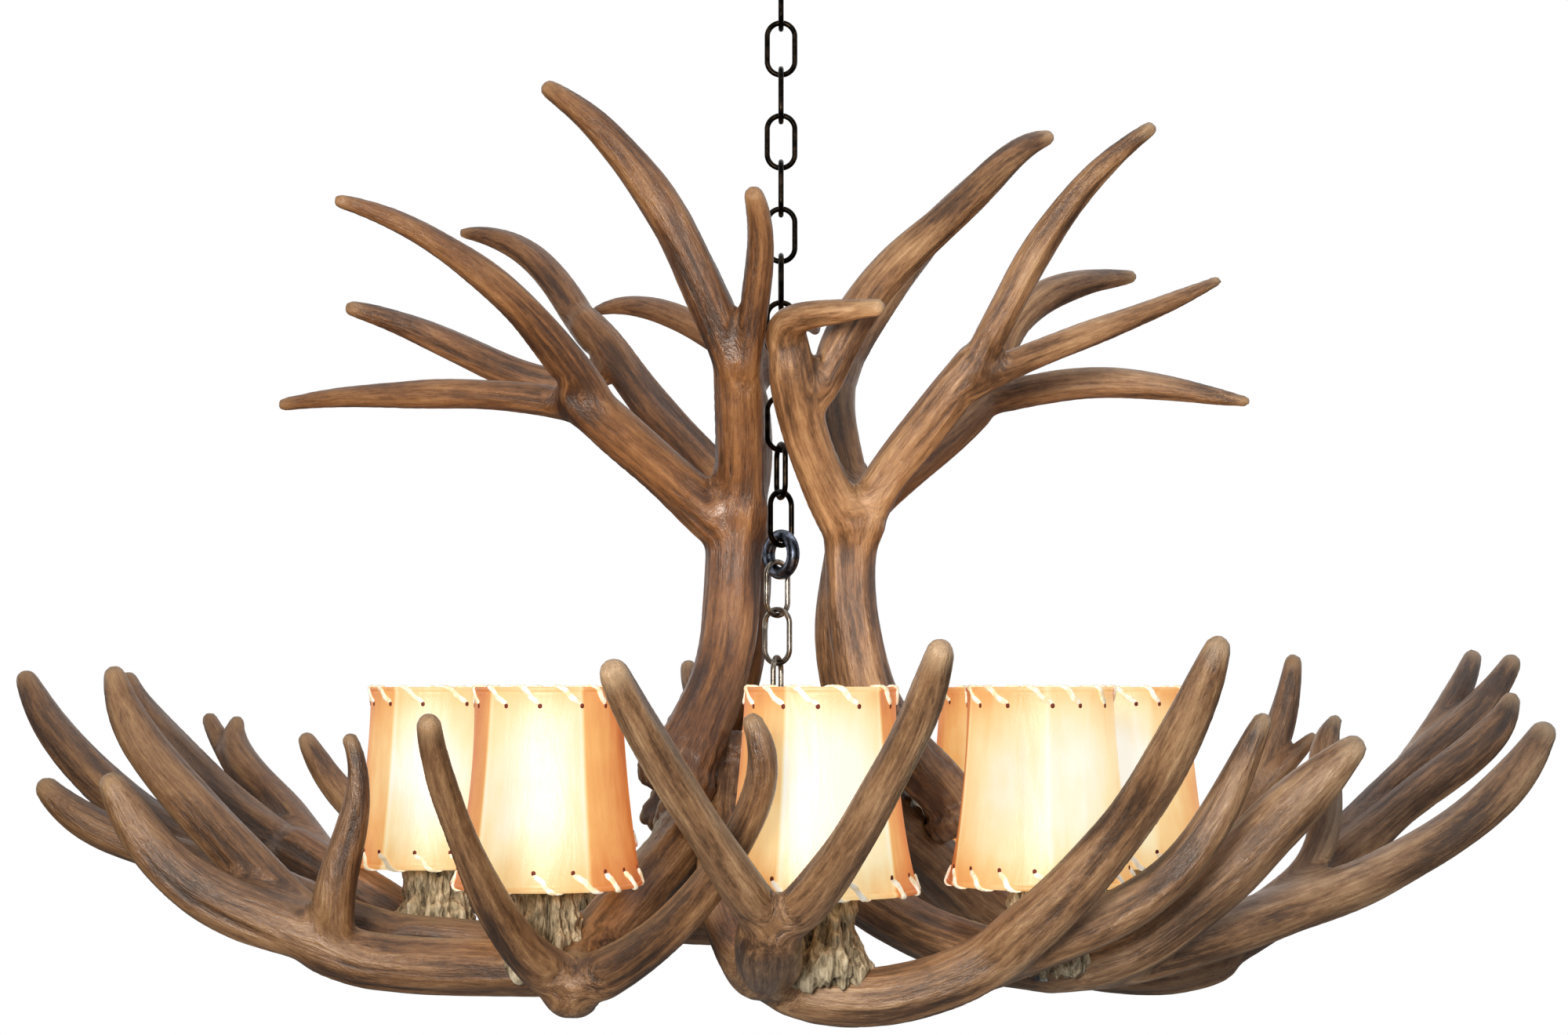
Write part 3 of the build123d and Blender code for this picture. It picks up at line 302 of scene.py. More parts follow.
# The two rear antlers repeat the trunks and forks of the front pair, half a turn round.
REAR_LEFT_OWN = {
    "beam": [(6, 212, -164, 35), (-20, 224, -172, 36), (-68, 220, -172, 36), (-118, 196, -168, 35),
             (-158, 176, -166, 33), (-200, 172, -155, 32)],
    "beam_outer": [(-188, 172, -160, 31), (-244, 180, -136, 29), (-292, 192, -106, 25),
                   (-332, 202, -70, 22), (-354, 208, -38, 13)],
    "beam_inner": [(-148, 182, -167, 29), (-184, 212, -152, 29), (-212, 246, -114, 25),
                   (-228, 276, -68, 21), (-234, 292, -22, 12)],
}
REAR_RIGHT_OWN = {
    "beam": [(108, 180, -158, 32), (144, 180, -162, 33), (190, 172, -162, 33), (238, 164, -161, 34),
             (274, 166, -149, 33)],
    "beam_high": [(256, 165, -155, 32), (302, 180, -132, 30), (342, 192, -88, 27),
                  (370, 198, -30, 22), (382, 200, 20, 13)],
    "beam_small": [(328, 189, -102, 17), (356, 188, -74, 16), (378, 186, -50, 14),
                   (392, 184, -36, 9)],
}


def half_turn(limbs, names):
    """The named limbs of an antler, turned 180 degrees round the hanging axis."""
    return {name: [(-x, -y, z, d) for x, y, z, d in limbs[name]] for name in names}


ANTLERS = {
    "upper_antler_front_left": FRONT_LEFT_UPPER,
    "upper_antler_front_right": FRONT_RIGHT_UPPER,
    "upper_antler_rear_left": REAR_LEFT_UPPER,
    "upper_antler_rear_right": REAR_RIGHT_UPPER,
    "ring_antler_front_right": FRONT_RIGHT_LOWER,
    "ring_antler_front_left": FRONT_LEFT_LOWER,
    "ring_antler_right_front": RIGHT_FRONT_LOWER,
    "ring_antler_right": RIGHT_LOWER,
    "ring_antler_left_rear": LEFT_REAR_LOWER,
    "ring_antler_left_front": LEFT_FRONT_LOWER,
    "ring_antler_rear_left":
        half_turn(FRONT_RIGHT_LOWER, ("trunk", "fork", "fork_left", "fork_right")) | REAR_LEFT_OWN,
    "ring_antler_rear_right":
        half_turn(FRONT_LEFT_LOWER, ("trunk", "fork", "fork_left", "fork_right")) | REAR_RIGHT_OWN,
}

SKIN_VOXEL = 0.0024             # metres: fine enough for the furrows
SAMPLE_STEP = 3.0               # mm along a centre line
FURROW_WIDTH = 7.0              # mm round the beam
FURROW_LENGTH = 95.0
FURROW_DEPTH = 1.35
LUMP_SIZE = 24.0
LUMP_DEPTH = 1.5
FINE_WIDTH = 3.2
FINE_LENGTH = 55.0
FINE_DEPTH = 0.35
PEARL_SIZE = 5.5                # the beads round the foot of a trunk
PEARL_DEPTH = 1.9
PEARL_REACH = 75.0
TIP_REACH = 30.0                # mm of rubbed, paler tip
FAR = 999.0                     # mm, for a limb that ends inside another
FIRST_SIDE = (0.31, 0.83, 0.46)
CROTCH = 0.55                   # how soft a fork is, in radii
BATCH = 4000                    # vertices at a time
BLUNT_END = 11.0                # a limb that ends thinner than this, in radius, is a tip


def centre_line(points):
    """Even samples of the smooth line through a limb's points: places, radii and distances."""
    points = np.array(points, float)
    padded = np.vstack([2 * points[0] - points[1], points, 2 * points[-1] - points[-2]])
    line = []
    for k in range(1, len(padded) - 2):
        p0, p1, p2, p3 = padded[k - 1:k + 3]
        count = max(2, int(np.linalg.norm(p2[:3] - p1[:3]) / SAMPLE_STEP))
        for t in np.arange(count) / count:
            line.append(0.5 * (2 * p1 + (p2 - p0) * t + (2 * p0 - 5 * p1 + 4 * p2 - p3) * t ** 2
                               + (3 * p1 - p0 - 3 * p2 + p3) * t ** 3))
    line.append(points[-1])
    line = np.array(line)
    steps = np.linalg.norm(np.diff(line[:, :3], axis=0), axis=1)
    return line[:, :3], line[:, 3] / 2, np.concatenate([[0.0], np.cumsum(steps)])


def untwisted(line, side):
    """Heading and two cross directions at each sample, carried along the line without twist."""
    heading = np.gradient(line, axis=0)
    heading /= np.linalg.norm(heading, axis=1)[:, None]
    across = []
    for direction in heading:
        side = side - direction * (side @ direction)
        side = side / np.linalg.norm(side)
        across.append(side)
    across = np.array(across)
    return heading, across, np.cross(heading, across)


def limb_samples(limbs):
    """All samples of an antler, with grain that runs on from each limb to the next. The columns are
    place 0-2, radius 3, distance 4, heading 5-7, across 8-10, up 11-13, limb 14, mm to the tip 15."""
    rows = []
    for number, points in enumerate(limbs.values()):
        line, radius, run = centre_line(points)
        side, start = np.array(FIRST_SIDE), 0.0
        if rows:
            earlier = np.vstack(rows)
            nearest = np.argmin(np.linalg.norm(earlier[:, :3] - line[0], axis=1))
            side, start = earlier[nearest, 8:11], earlier[nearest, 4]
        heading, across, up = untwisted(line, side)
        left = run[-1] - run if radius[-1] < BLUNT_END else np.full(len(run), FAR)
        column = np.ones(len(run))
        rows.append(np.column_stack([line, radius, start + run, heading, across, up,
                                     column * number, left]))
    return np.vstack(rows)


def neighbour_mean(values, pairs, counts):
    """Mean of each vertex's neighbours, for a scalar or a vector at each vertex."""
    total = np.column_stack([
        np.bincount(pairs[:, 0], column[pairs[:, 1]], len(counts))
        + np.bincount(pairs[:, 1], column[pairs[:, 0]], len(counts)) for column in values.T])
    return total / counts[:, None]


def relax(values, pairs, counts, weight, rounds):
    """Smooths values over the mesh, by each vertex's own weight."""
    for _ in range(rounds):
        values = values + weight[:, None] * (neighbour_mean(values, pairs, counts) - values)
    return values


def remeshed(node, voxel):
    """A new even mesh over a CAD node's solid."""
    solid = bpy.data.objects.new("solid", nodes[node].data.copy())
    scene.collection.objects.link(solid)
    step = solid.modifiers.new("even", "REMESH")
    step.mode = "VOXEL"
    step.voxel_size = voxel
    bpy.context.view_layer.update()
    mesh = bpy.data.meshes.new_from_object(solid.evaluated_get(bpy.context.evaluated_depsgraph_get()))
    bpy.data.objects.remove(solid)
    return mesh


def antler_skin(node, limbs, seed):
    """The furrowed casting over an antler's solid, with its grain kept at each vertex."""
    mesh = remeshed(node, SKIN_VOXEL)
    count = len(mesh.vertices)
    places = np.zeros(count * 3)
    mesh.vertices.foreach_get("co", places)
    places = places.reshape(-1, 3)
    pairs = np.zeros(len(mesh.edges) * 2, int)
    mesh.edges.foreach_get("vertices", pairs)
    pairs = pairs.reshape(-1, 2)
    counts = np.maximum(np.bincount(pairs.ravel(), minlength=count), 1)

    samples = limb_samples(limbs)
    local = (places - np.array(RING_MIDDLE)) * 1000
    first, second = np.full(count, 99.0), np.full(count, 99.0)
    own = np.zeros(count, int)
    for number in range(len(limbs)):
        chosen = np.where(samples[:, 14] == number)[0]
        for part in range(0, count, BATCH):
            gap = np.linalg.norm(local[part:part + BATCH, None] - samples[None, chosen, :3], axis=2)
            share = gap / samples[chosen, 3]
            best = np.argmin(share, axis=1)
            value = share[np.arange(len(best)), best]
            span = slice(part, part + BATCH)
            closer = value < first[span]
            second[span] = np.where(closer, first[span], np.minimum(second[span], value))
            own[span] = np.where(closer, chosen[best], own[span])
            first[span] = np.where(closer, value, first[span])
    fork = np.clip(1.0 - (second - first) / CROTCH, 0, 1)

    places = relax(places, pairs, counts, 0.05 + 0.5 * fork, 8)
    local = (places - np.array(RING_MIDDLE)) * 1000
    row = samples[own]
    offset = local - row[:, :3]
    grain = np.column_stack([
        np.einsum("ij,ij->i", offset, row[:, 8:11]), np.einsum("ij,ij->i", offset, row[:, 11:14]),
        row[:, 4] + np.einsum("ij,ij->i", offset, row[:, 5:8])])
    grain = relax(grain, pairs, counts, 0.5 * np.clip(fork * 2, 0, 1), 26)
    wear_and_furrow_shade = relax(np.column_stack([np.clip(1 - row[:, 15] / TIP_REACH, 0, 1),
                                 np.clip(1 - grain[:, 2] / PEARL_REACH, 0, 1), fork]),
                pairs, counts, np.full(count, 0.5), 5)

    mesh.vertices.foreach_set("co", places.ravel())
    mesh.update()
    normals = np.zeros(count * 3)
    mesh.vertex_normals.foreach_get("vector", normals)
    normals = normals.reshape(-1, 3)
    shift = np.zeros(count)
    stout = np.clip(row[:, 3] / 15.0, 0.25, 1.2)
    for k in range(count):
        x, y, s = grain[k]
        furrow = noise.noise(Vector((x / FURROW_WIDTH + seed, y / FURROW_WIDTH, s / FURROW_LENGTH)))
        fine = noise.noise(Vector((x / FINE_WIDTH, y / FINE_WIDTH + seed, s / FINE_LENGTH)))
        lump = noise.noise(Vector((x / LUMP_SIZE, y / LUMP_SIZE, s / (2 * LUMP_SIZE) + seed)))
        shift[k] = (FURROW_DEPTH * (furrow - 0.6 * abs(furrow)) + FINE_DEPTH * fine
                    + LUMP_DEPTH * lump) * stout[k]
        if wear_and_furrow_shade[k, 1] > 0.02:
            pearl = noise.noise(Vector((x / PEARL_SIZE, y / PEARL_SIZE, s / PEARL_SIZE + seed)))
            shift[k] += PEARL_DEPTH * wear_and_furrow_shade[k, 1] * (1.2 * max(pearl, -0.15) - 0.1)
    # How deep each place lies in its furrow, which darkens the colour there: stain in the furrows and
    # painted shade.
    wear_and_furrow_shade[:, 2] = np.clip(0.5 + shift / (2.2 * FURROW_DEPTH * stout), 0, 1)
    places = places + normals * (shift * (1 - 0.8 * wear_and_furrow_shade[:, 0]) / 1000)[:, None]
    mesh.vertices.foreach_set("co", places.ravel())
    mesh.shade_smooth()
    for name, values in (("grain", grain), ("wear_and_furrow_shade", wear_and_furrow_shade)):
        values = values.astype(np.float32).ravel()
        mesh.attributes.new(name, "FLOAT_VECTOR", "POINT").data.foreach_set("vector", values)
    mesh.materials.clear()
    return mesh


# Polyester resin, rubbed with brown stain and waxed: dark in the furrows, partly stain and partly
# painted shade, tan on the ridges, with a low soft gloss. The fine fibre is about one millimetre
# wide and is drawn as lengthwise streaks.
RESIN_IOR = 1.5
FURROW_ROUGHNESS = 0.46
RIDGE_ROUGHNESS = 0.25
PATTERNS = {                    # mm wide, stretch along the grain, detail, roughness, distortion
    "streak": (4.2, 0.06, 5.0, 0.62, 0.25), "fibre": (1.2, 0.08, 3.0, 0.6, 0.0),
    "mottle": (45.0, 0.4, 3.0, 0.55, 0.0), "fleck": (2.6, 0.28, 4.0, 0.75, 0.0),
}
# The furrow share darkens the colour where the surface lies deep: stain in the furrows and painted shade.
STAIN_SHARES = {"streak": 0.38, "fibre": 0.15, "mottle": 0.30, "furrow": 0.16, "fleck": 0.22}
STAIN_SHIFT = -0.10
RELIEF_SHARES = {"streak": 1.0, "fibre": 0.25, "fleck": 0.7}
TONES = {                       # each casting has its own tone: those on the left darker and warmer, those on the right paler
    "upper_antler_front_left": (0.88, 0.72, 0.55), "upper_antler_front_right": (1.30, 1.26, 1.20),
    "upper_antler_rear_left": (0.94, 0.80, 0.66), "upper_antler_rear_right": (1.18, 1.14, 1.08),
    "ring_antler_front_left": (0.80, 0.75, 0.68), "ring_antler_front_right": (1.05, 1.08, 1.12),
    "ring_antler_left_front": (0.64, 0.57, 0.46), "ring_antler_left_rear": (0.70, 0.62, 0.52),
    "ring_antler_right_front": (1.00, 1.05, 1.12), "ring_antler_right": (0.96, 0.98, 1.04),
    "ring_antler_rear_left": (0.90, 0.84, 0.76), "ring_antler_rear_right": (0.92, 0.88, 0.82),
}
stained_resin, tree, out = new_material("stained_antler_resin")
grain = put(tree, "ShaderNodeAttribute", attribute_name="grain").outputs["Vector"]
wear_and_furrow_shade = put(tree, "ShaderNodeAttribute", attribute_name="wear_and_furrow_shade").outputs["Vector"]
wear_and_furrow_shade = put(tree, "ShaderNodeSeparateXYZ", {0: wear_and_furrow_shade})
patterns = {"furrow": wear_and_furrow_shade.outputs[2]}
for name, (width, stretch, detail, roughness, distortion) in PATTERNS.items():
    along = put(tree, "ShaderNodeVectorMath", {0: grain, 1: (1, 1, stretch)}, operation="MULTIPLY")
    patterns[name] = put(tree, "ShaderNodeTexNoise", {
        "Vector": along.outputs[0], "Scale": 1 / width, "Detail": detail, "Roughness": roughness,
        "Distortion": distortion}).outputs[0]
blend = STAIN_SHIFT
for name, share in STAIN_SHARES.items():
    blend = put(tree, "ShaderNodeMath", {0: patterns[name], 1: share, 2: blend},
                operation="MULTIPLY_ADD").outputs[0]
stain = put(tree, "ShaderNodeValToRGB", {0: blend}, stops=(
    (0.32, "#21150d"), (0.43, "#523823"), (0.51, "#836041"), (0.60, "#a98561"),
    (0.72, "#cdae8b"))).outputs[0]
foot_dirt = put(tree, "ShaderNodeMath", {0: wear_and_furrow_shade.outputs[1], 1: 0.55}, operation="MULTIPLY").outputs[0]
stain = put(tree, "ShaderNodeMix", {0: foot_dirt, 6: stain, 7: paint("#4f3226")},
            data_type="RGBA").outputs[2]
rubbed = put(tree, "ShaderNodeMath", {0: wear_and_furrow_shade.outputs[0], 1: 1.5, 2: -1.15},
             operation="MULTIPLY_ADD").outputs[0]
rubbed = put(tree, "ShaderNodeMath", {0: patterns["streak"], 1: 0.5, 2: rubbed},
             operation="MULTIPLY_ADD", use_clamp=True).outputs[0]
rubbed = put(tree, "ShaderNodeMath", {0: rubbed, 1: wear_and_furrow_shade.outputs[0]}, operation="MULTIPLY",
             use_clamp=True).outputs[0]
colour = put(tree, "ShaderNodeMix", {0: rubbed, 6: stain, 7: paint("#c4a582")},
             data_type="RGBA").outputs[2]
tone = put(tree, "ShaderNodeAttribute", attribute_name="tone").outputs["Vector"]
colour = put(tree, "ShaderNodeVectorMath", {0: colour, 1: tone}, operation="MULTIPLY").outputs[0]
relief = 0.0
for name, share in RELIEF_SHARES.items():
    relief = put(tree, "ShaderNodeMath", {0: patterns[name], 1: share, 2: relief},
                 operation="MULTIPLY_ADD").outputs[0]
relief = put(tree, "ShaderNodeBump", {"Height": relief, "Strength": 0.8, "Distance": 0.0016}).outputs[0]
gloss = put(tree, "ShaderNodeMapRange", {
    "Value": patterns["streak"], "From Min": 0.3, "From Max": 0.7, "To Min": FURROW_ROUGHNESS,
    "To Max": RIDGE_ROUGHNESS}).outputs[0]
resin = put(tree, "ShaderNodeBsdfPrincipled", {"Base Color": colour, "Roughness": gloss, "IOR": RESIN_IOR,
                                               "Normal": relief})
tree.links.new(resin.outputs[0], out.inputs["Surface"])

for number, (node, limbs) in enumerate(ANTLERS.items()):
    skin = bpy.data.objects.new(node + "_casting", antler_skin(node, limbs, 3.7 * number))
    skin.data.materials.append(stained_resin)
    tones = TONES[node] * len(skin.data.vertices)
    skin.data.attributes.new("tone", "FLOAT_VECTOR", "POINT").data.foreach_set("vector", tones)
    scene.collection.objects.link(skin)
    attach(skin, "chandelier")
    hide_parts(node)

# ---- Hub ------------------------------------------------------------------------------------
# The resin block where the four trunks meet, with its round cover below. The lamp wires join in
# it. Both are cast and stained like the antlers, and three bronze screws hold the cover up.
HUB_COLOURS = ((0.35, "#2e2018"), (0.5, "#5b4230"), (0.65, "#86674c"))
hub_resin, tree, out = new_material("stained_hub_resin")
place = put(tree, "ShaderNodeTexCoord").outputs["Object"]
cloud = put(tree, "ShaderNodeTexNoise", {"Vector": place, "Scale": 45.0, "Detail": 6.0,
                                         "Roughness": 0.6}).outputs[0]
stain = put(tree, "ShaderNodeValToRGB", {0: cloud}, stops=HUB_COLOURS).outputs[0]
relief = put(tree, "ShaderNodeBump", {"Height": cloud, "Strength": 0.5, "Distance": 0.002}).outputs[0]
resin = put(tree, "ShaderNodeBsdfPrincipled", {"Base Color": stain, "Roughness": 0.55,
                                               "Normal": relief})
tree.links.new(resin.outputs[0], out.inputs["Surface"])
for node in ("wiring_hub", "hub_cover"):
    nodes[node].data.materials.clear()
    nodes[node].data.materials.append(hub_resin)

# ---- Lamp stands ----------------------------------------------------------------------------
# Eight resin cups moulded to look like a stub of old bark with a spreading root. A threaded rod
# down the middle holds each cup on its antler and the black phenolic socket in its top.
LIGHT_RADIUS = 226.0            # mm
LIGHT_AZIMUTHS = (6, 43, 90, 135, 182, 225, 272, 323)
lamp_axes = [RING_MIDDLE + Vector((sin(radians(turn)), -cos(radians(turn)), 0)) * LIGHT_RADIUS / 1000
             for turn in LIGHT_AZIMUTHS]
BARK_VOXEL = 0.0015
BORE_RADIUS = 14.5              # mm: the wall inside this radius stays smooth
BARK_FURROWS = 22               # round a cup
BARK_DEPTH = 4.2
RIDGE_LENGTH = 26.0
TWIG_SIZE = (3.4, 8.0)          # mm across and up
KNOB_SIZE = (11.0, 12.0)
bark_mesh = remeshed("bark_cups", BARK_VOXEL)
count = len(bark_mesh.vertices)
places = np.zeros(count * 3)
bark_mesh.vertices.foreach_get("co", places)
places = places.reshape(-1, 3)
normals = np.zeros(count * 3)
bark_mesh.vertex_normals.foreach_get("vector", normals)
normals = normals.reshape(-1, 3)
axes = np.array([tuple(axis) for axis in lamp_axes])
nearest = np.argmin(np.linalg.norm(places[:, None, :2] - axes[None, :, :2], axis=2), axis=1)
local = (places - axes[nearest]) * 1000
carve = np.zeros(count)
for k, (x, y, z) in enumerate(local):
    radius = (x * x + y * y) ** 0.5
    turn = atan2(y, x) * BARK_FURROWS / (2 * pi)
    cup = 9.0 * nearest[k]
    ridge = noise.noise(Vector((turn * 1.7 + cup, z / RIDGE_LENGTH, cup)))
    twig = noise.noise(Vector((x / TWIG_SIZE[0] + cup, y / TWIG_SIZE[0], z / TWIG_SIZE[1])))
    knob = noise.noise(Vector((x / KNOB_SIZE[0], y / KNOB_SIZE[0] + cup, z / KNOB_SIZE[1])))
    outside = min(max((radius - BORE_RADIUS) / 3.0, 0.0), 1.0)
    carve[k] = outside * (1.2 * ridge + 0.8 * twig + 0.9 * knob + 0.25)
places = places + normals * (carve * BARK_DEPTH / 1000)[:, None]
bark_mesh.vertices.foreach_set("co", places.ravel())
bark_mesh.attributes.new("carve", "FLOAT", "POINT").data.foreach_set("value", carve.astype(np.float32))
bark_mesh.shade_smooth()

moulded_bark, tree, out = new_material("moulded_bark_resin")
place = put(tree, "ShaderNodeTexCoord").outputs["Object"]
carved = put(tree, "ShaderNodeAttribute", attribute_name="carve").outputs["Fac"]
upright = put(tree, "ShaderNodeVectorMath", {0: place, 1: (1.0, 1.0, 0.22)}, operation="MULTIPLY").outputs[0]
cloud = put(tree, "ShaderNodeTexNoise", {"Vector": upright, "Scale": 480.0, "Detail": 5.0, "Roughness": 0.65,
                                         "Distortion": 0.5}).outputs[0]
blend = put(tree, "ShaderNodeMath", {0: carved, 1: 0.15, 2: cloud}, operation="MULTIPLY_ADD").outputs[0]
stain = put(tree, "ShaderNodeValToRGB", {0: blend}, stops=(
    (0.30, "#2a241c"), (0.42, "#6e614c"), (0.54, "#a39579"), (0.74, "#ddd0b4"))).outputs[0]
relief = put(tree, "ShaderNodeBump", {"Height": blend, "Strength": 0.9, "Distance": 0.0015}).outputs[0]
bark = put(tree, "ShaderNodeBsdfPrincipled", {"Base Color": stain, "Roughness": 0.82, "Normal": relief})
tree.links.new(bark.outputs[0], out.inputs["Surface"])
bark_mesh.materials.clear()
bark_mesh.materials.append(moulded_bark)
bark_skin = bpy.data.objects.new("bark_cups_moulded", bark_mesh)
scene.collection.objects.link(bark_skin)
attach(bark_skin, "chandelier")
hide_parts("bark_cups")

# ---- Bulbs ----------------------------------------------------------------------------------
# Warm torpedo bulbs, lit, screwed down into the sockets. Most of the light leaves through the
# hide, and the rest through the shades' open tops and bottoms, onto the antlers nearby.
BULB_LIGHT = "#ffd9a0"
SPILL_LIGHT = "#ffae62"
SPILL_UP = (-12.0, 0.08)        # mm above the shades' upper rims, watts
SPILL_DOWN = (-112.0, 0.10)
lit_glass, tree, out = new_material("lit_bulb_glass")
glass = put(tree, "ShaderNodeBsdfPrincipled", {
    "Base Color": paint("#fff4e0"), "Roughness": 0.1, "Emission Color": paint(BULB_LIGHT),
    "Emission Strength": 5.0})
tree.links.new(glass.outputs[0], out.inputs["Surface"])
nodes["bulbs"].data.materials.clear()
nodes["bulbs"].data.materials.append(lit_glass)
for number, axis in enumerate(lamp_axes, start=1):
    for height, power in (SPILL_UP, SPILL_DOWN):
        spill = bpy.data.lights.new("spill", "POINT")
        spill.energy = power
        spill.color = paint(SPILL_LIGHT)[:3]
        spill.shadow_soft_size = 0.012
        holder = bpy.data.objects.new(f"spill_{number}", spill)
        holder.location = axis + Vector((0, 0, height / 1000))
        scene.collection.objects.link(holder)
        holder.parent = frame["bodies"]["chandelier"]

# ---- Shades ---------------------------------------------------------------------------------
# Rawhide, wetted and laced over two wire rings, then dried tight: round at the rims, and drawn
# into five broad panels and a waist between them. The bulb's light through the hide is painted as
# emission: cream to nearly white on the panels that face front and back, and painted darker amber
# on the sides. Both rims are rolled, and whipped with a flat white lace.
SHADE_HEIGHT = 114.0            # mm
TOP_RADIUS = 44.5
BOTTOM_RADIUS = 57.0
PANELS = 5
GLOW_LEAST = 0.03               # shares of the bulb's light
# Painted light: the hide is painted brighter where it faces front or back, and its sides darker amber.
PAINTED_GLOW_FRONT_BACK = 0.34
PAINTED_GLOW_PALE_PANELS = 0.26
GLOW_SPREAD = 0.03
GLOW_BULB = 0.9
GLOW_CREASE = 0.10
BULB_MIDDLE = 62.0              # mm up the shade
BULB_REACH = 34.0
RIM_SHADOWS = ((0.0, 15.0, 0.15), (SHADE_HEIGHT, 11.0, 0.11))           # height, reach, loss
SHADE_TURNS = (10, 36, -20, 15, 0, -25, 8, -5)      # degrees each shade's front panel is turned
PANEL_COLUMNS = 22
SHADE_ROWS = 30
HIDE_THICKNESS = 1.3
FLATNESS = 0.42                 # of the panels, at half height; the ribs inside set the limit
WAIST = 0.030                   # share of the radius
EDGE_INSET = 0.6                # a rolled rim's middle, from the shade's edge
ROLL_DEPTH = 0.7                # and in from the hide's outside
ROLL_RADIUS = 1.6
LACE_WIDE = 1.8                 # half widths of the flat lace
LACE_THICK = 0.8
STITCHES = ((SHADE_HEIGHT, -1, 12), (0.0, 1, 15))   # rim height, way into the shade, stitches
STITCH_REACH = 8.0              # mm from the rim to the holes
STITCH_SLANT = 20.0             # mm along the rim
STITCH_TAIL = ((0.0, 1.0, -0.6), (0.08, 0.9, 0.5), (0.28, 0.6, 0.9))    # along, down, off the hide
STITCH_LAP = ((0.42, -25), (0.5, 15), (0.6, 55), (0.7, 95), (0.8, 135), (0.9, 175), (1.0, 210))
TUBE_SIDES = 8
HOLE_STEPS = ((-1.5, 0.3), (-0.8, 1.2), (0.8, 1.2), (1.5, 0.3))         # mm up, half width


def shade_point(turn, height, depth, front):
    """A point of a shade's hide, in mm from the middle of its lower rim; depth is in from the outside."""
    share = height / SHADE_HEIGHT
    corner = BOTTOM_RADIUS + share * (TOP_RADIUS - BOTTOM_RADIUS)
    off = ((turn - front) / (2 * pi) * PANELS + 0.5) % 1.0 - 0.5
    flat = corner * cos(pi / PANELS) / cos(off * 2 * pi / PANELS)
    soft = corner * 0.972
    panel = soft - 0.5 * ((soft - flat) + ((soft - flat) ** 2 + 1.2) ** 0.5) + 0.35
    flatness = FLATNESS * sin(pi * share) ** 0.6
    radius = (soft * (1 - flatness) + panel * flatness) * (1 - WAIST * sin(pi * share)) - depth
    return Vector((radius * cos(turn), radius * sin(turn), height))


def light_through(turn, height, front, tones):
    """The bulb's light painted on the hide as glow, 0 to 1, at a place on a shade; painted brighter where
    the hide faces front or back.
    """
    place = ((turn - front) / (2 * pi) * PANELS + 0.5) % PANELS
    off = place % 1.0 - 0.5
    tone = tones[int(place)]
    near = exp(-((height - BULB_MIDDLE) / BULB_REACH) ** 2) * (1 - 1.6 * off ** 2)
    crease = exp(-((0.5 - abs(off)) / 0.02) ** 2)
    rims = sum(loss * exp(-((height - level) / reach) ** 2) for level, reach, loss in RIM_SHADOWS)
    return (GLOW_LEAST + tone * (1 + GLOW_BULB * near) + PAINTED_GLOW_FRONT_BACK * abs(sin(turn))
            + GLOW_CREASE * crease - rims)


def add_tube(vertices, faces, path, wide, thick, outward, closed):
    """Adds a flattened tube round a path; outward gives the thin way at each point."""
    start = len(vertices)
    for k, point in enumerate(path):
        after = path[(k + 1) % len(path)] if closed or k < len(path) - 1 else point
        before = path[k - 1] if closed or k else point
        run = (after - before).normalized()
        out_way = (outward[k] - run * outward[k].dot(run)).normalized()
        cross = run.cross(out_way)
        for side in range(TUBE_SIDES):
            turn = 2 * pi * side / TUBE_SIDES
            vertices.append(point + out_way * thick[k] * cos(turn) + cross * wide[k] * sin(turn))
    rings = len(path) if closed else len(path) - 1
    for k in range(rings):
        low, high = start + k * TUBE_SIDES, start + (k + 1) % len(path) * TUBE_SIDES
        for side in range(TUBE_SIDES):
            following = (side + 1) % TUBE_SIDES
            faces.append((low + side, low + following, high + following, high + side))


# The hide's glow from the bulb behind it is painted as emission: "glow" holds how much painted
# light comes through, and the veins and creases come from stretched noise.
lit_hide, tree, out = new_material("lit_rawhide")
glow = put(tree, "ShaderNodeAttribute", attribute_name="glow").outputs["Fac"]
place = put(tree, "ShaderNodeAttribute", attribute_name="skin").outputs["Vector"]
veins = put(tree, "ShaderNodeVectorMath", {0: place, 1: (1, 1, 0.16)}, operation="MULTIPLY").outputs[0]
veins = put(tree, "ShaderNodeTexNoise", {"Vector": veins, "Scale": 0.09, "Detail": 5.0, "Roughness": 0.6,
                                         "Distortion": 0.6}).outputs[0]
patch = put(tree, "ShaderNodeTexNoise", {"Vector": place, "Scale": 0.022, "Detail": 3.0}).outputs[0]
grit = put(tree, "ShaderNodeTexNoise", {"Vector": place, "Scale": 0.6, "Detail": 4.0}).outputs[0]
light = put(tree, "ShaderNodeMath", {0: veins, 1: 0.24, 2: glow}, operation="MULTIPLY_ADD").outputs[0]
light = put(tree, "ShaderNodeMath", {0: patch, 1: 0.34, 2: light}, operation="MULTIPLY_ADD").outputs[0]
light = put(tree, "ShaderNodeMath", {0: light, 1: -0.29}, operation="ADD").outputs[0]
through = put(tree, "ShaderNodeValToRGB", {0: light}, stops=(
    (0.0, "#a8481a"), (0.16, "#cc7030"), (0.34, "#e8a75e"), (0.50, "#f4d092"), (0.66, "#faebbd"),
    (0.86, "#fffef2"))).outputs[0]
crease = put(tree, "ShaderNodeMath", {0: grit, 1: 0.2, 2: veins}, operation="MULTIPLY_ADD").outputs[0]
crease = put(tree, "ShaderNodeBump", {"Height": crease, "Strength": 0.5, "Distance": 0.002}).outputs[0]
hide = put(tree, "ShaderNodeBsdfPrincipled", {
    "Base Color": paint("#8a6a48"), "Roughness": 0.42, "Normal": crease, "Emission Color": through,
    "Emission Strength": 0.86})
tree.links.new(hide.outputs[0], out.inputs["Surface"])

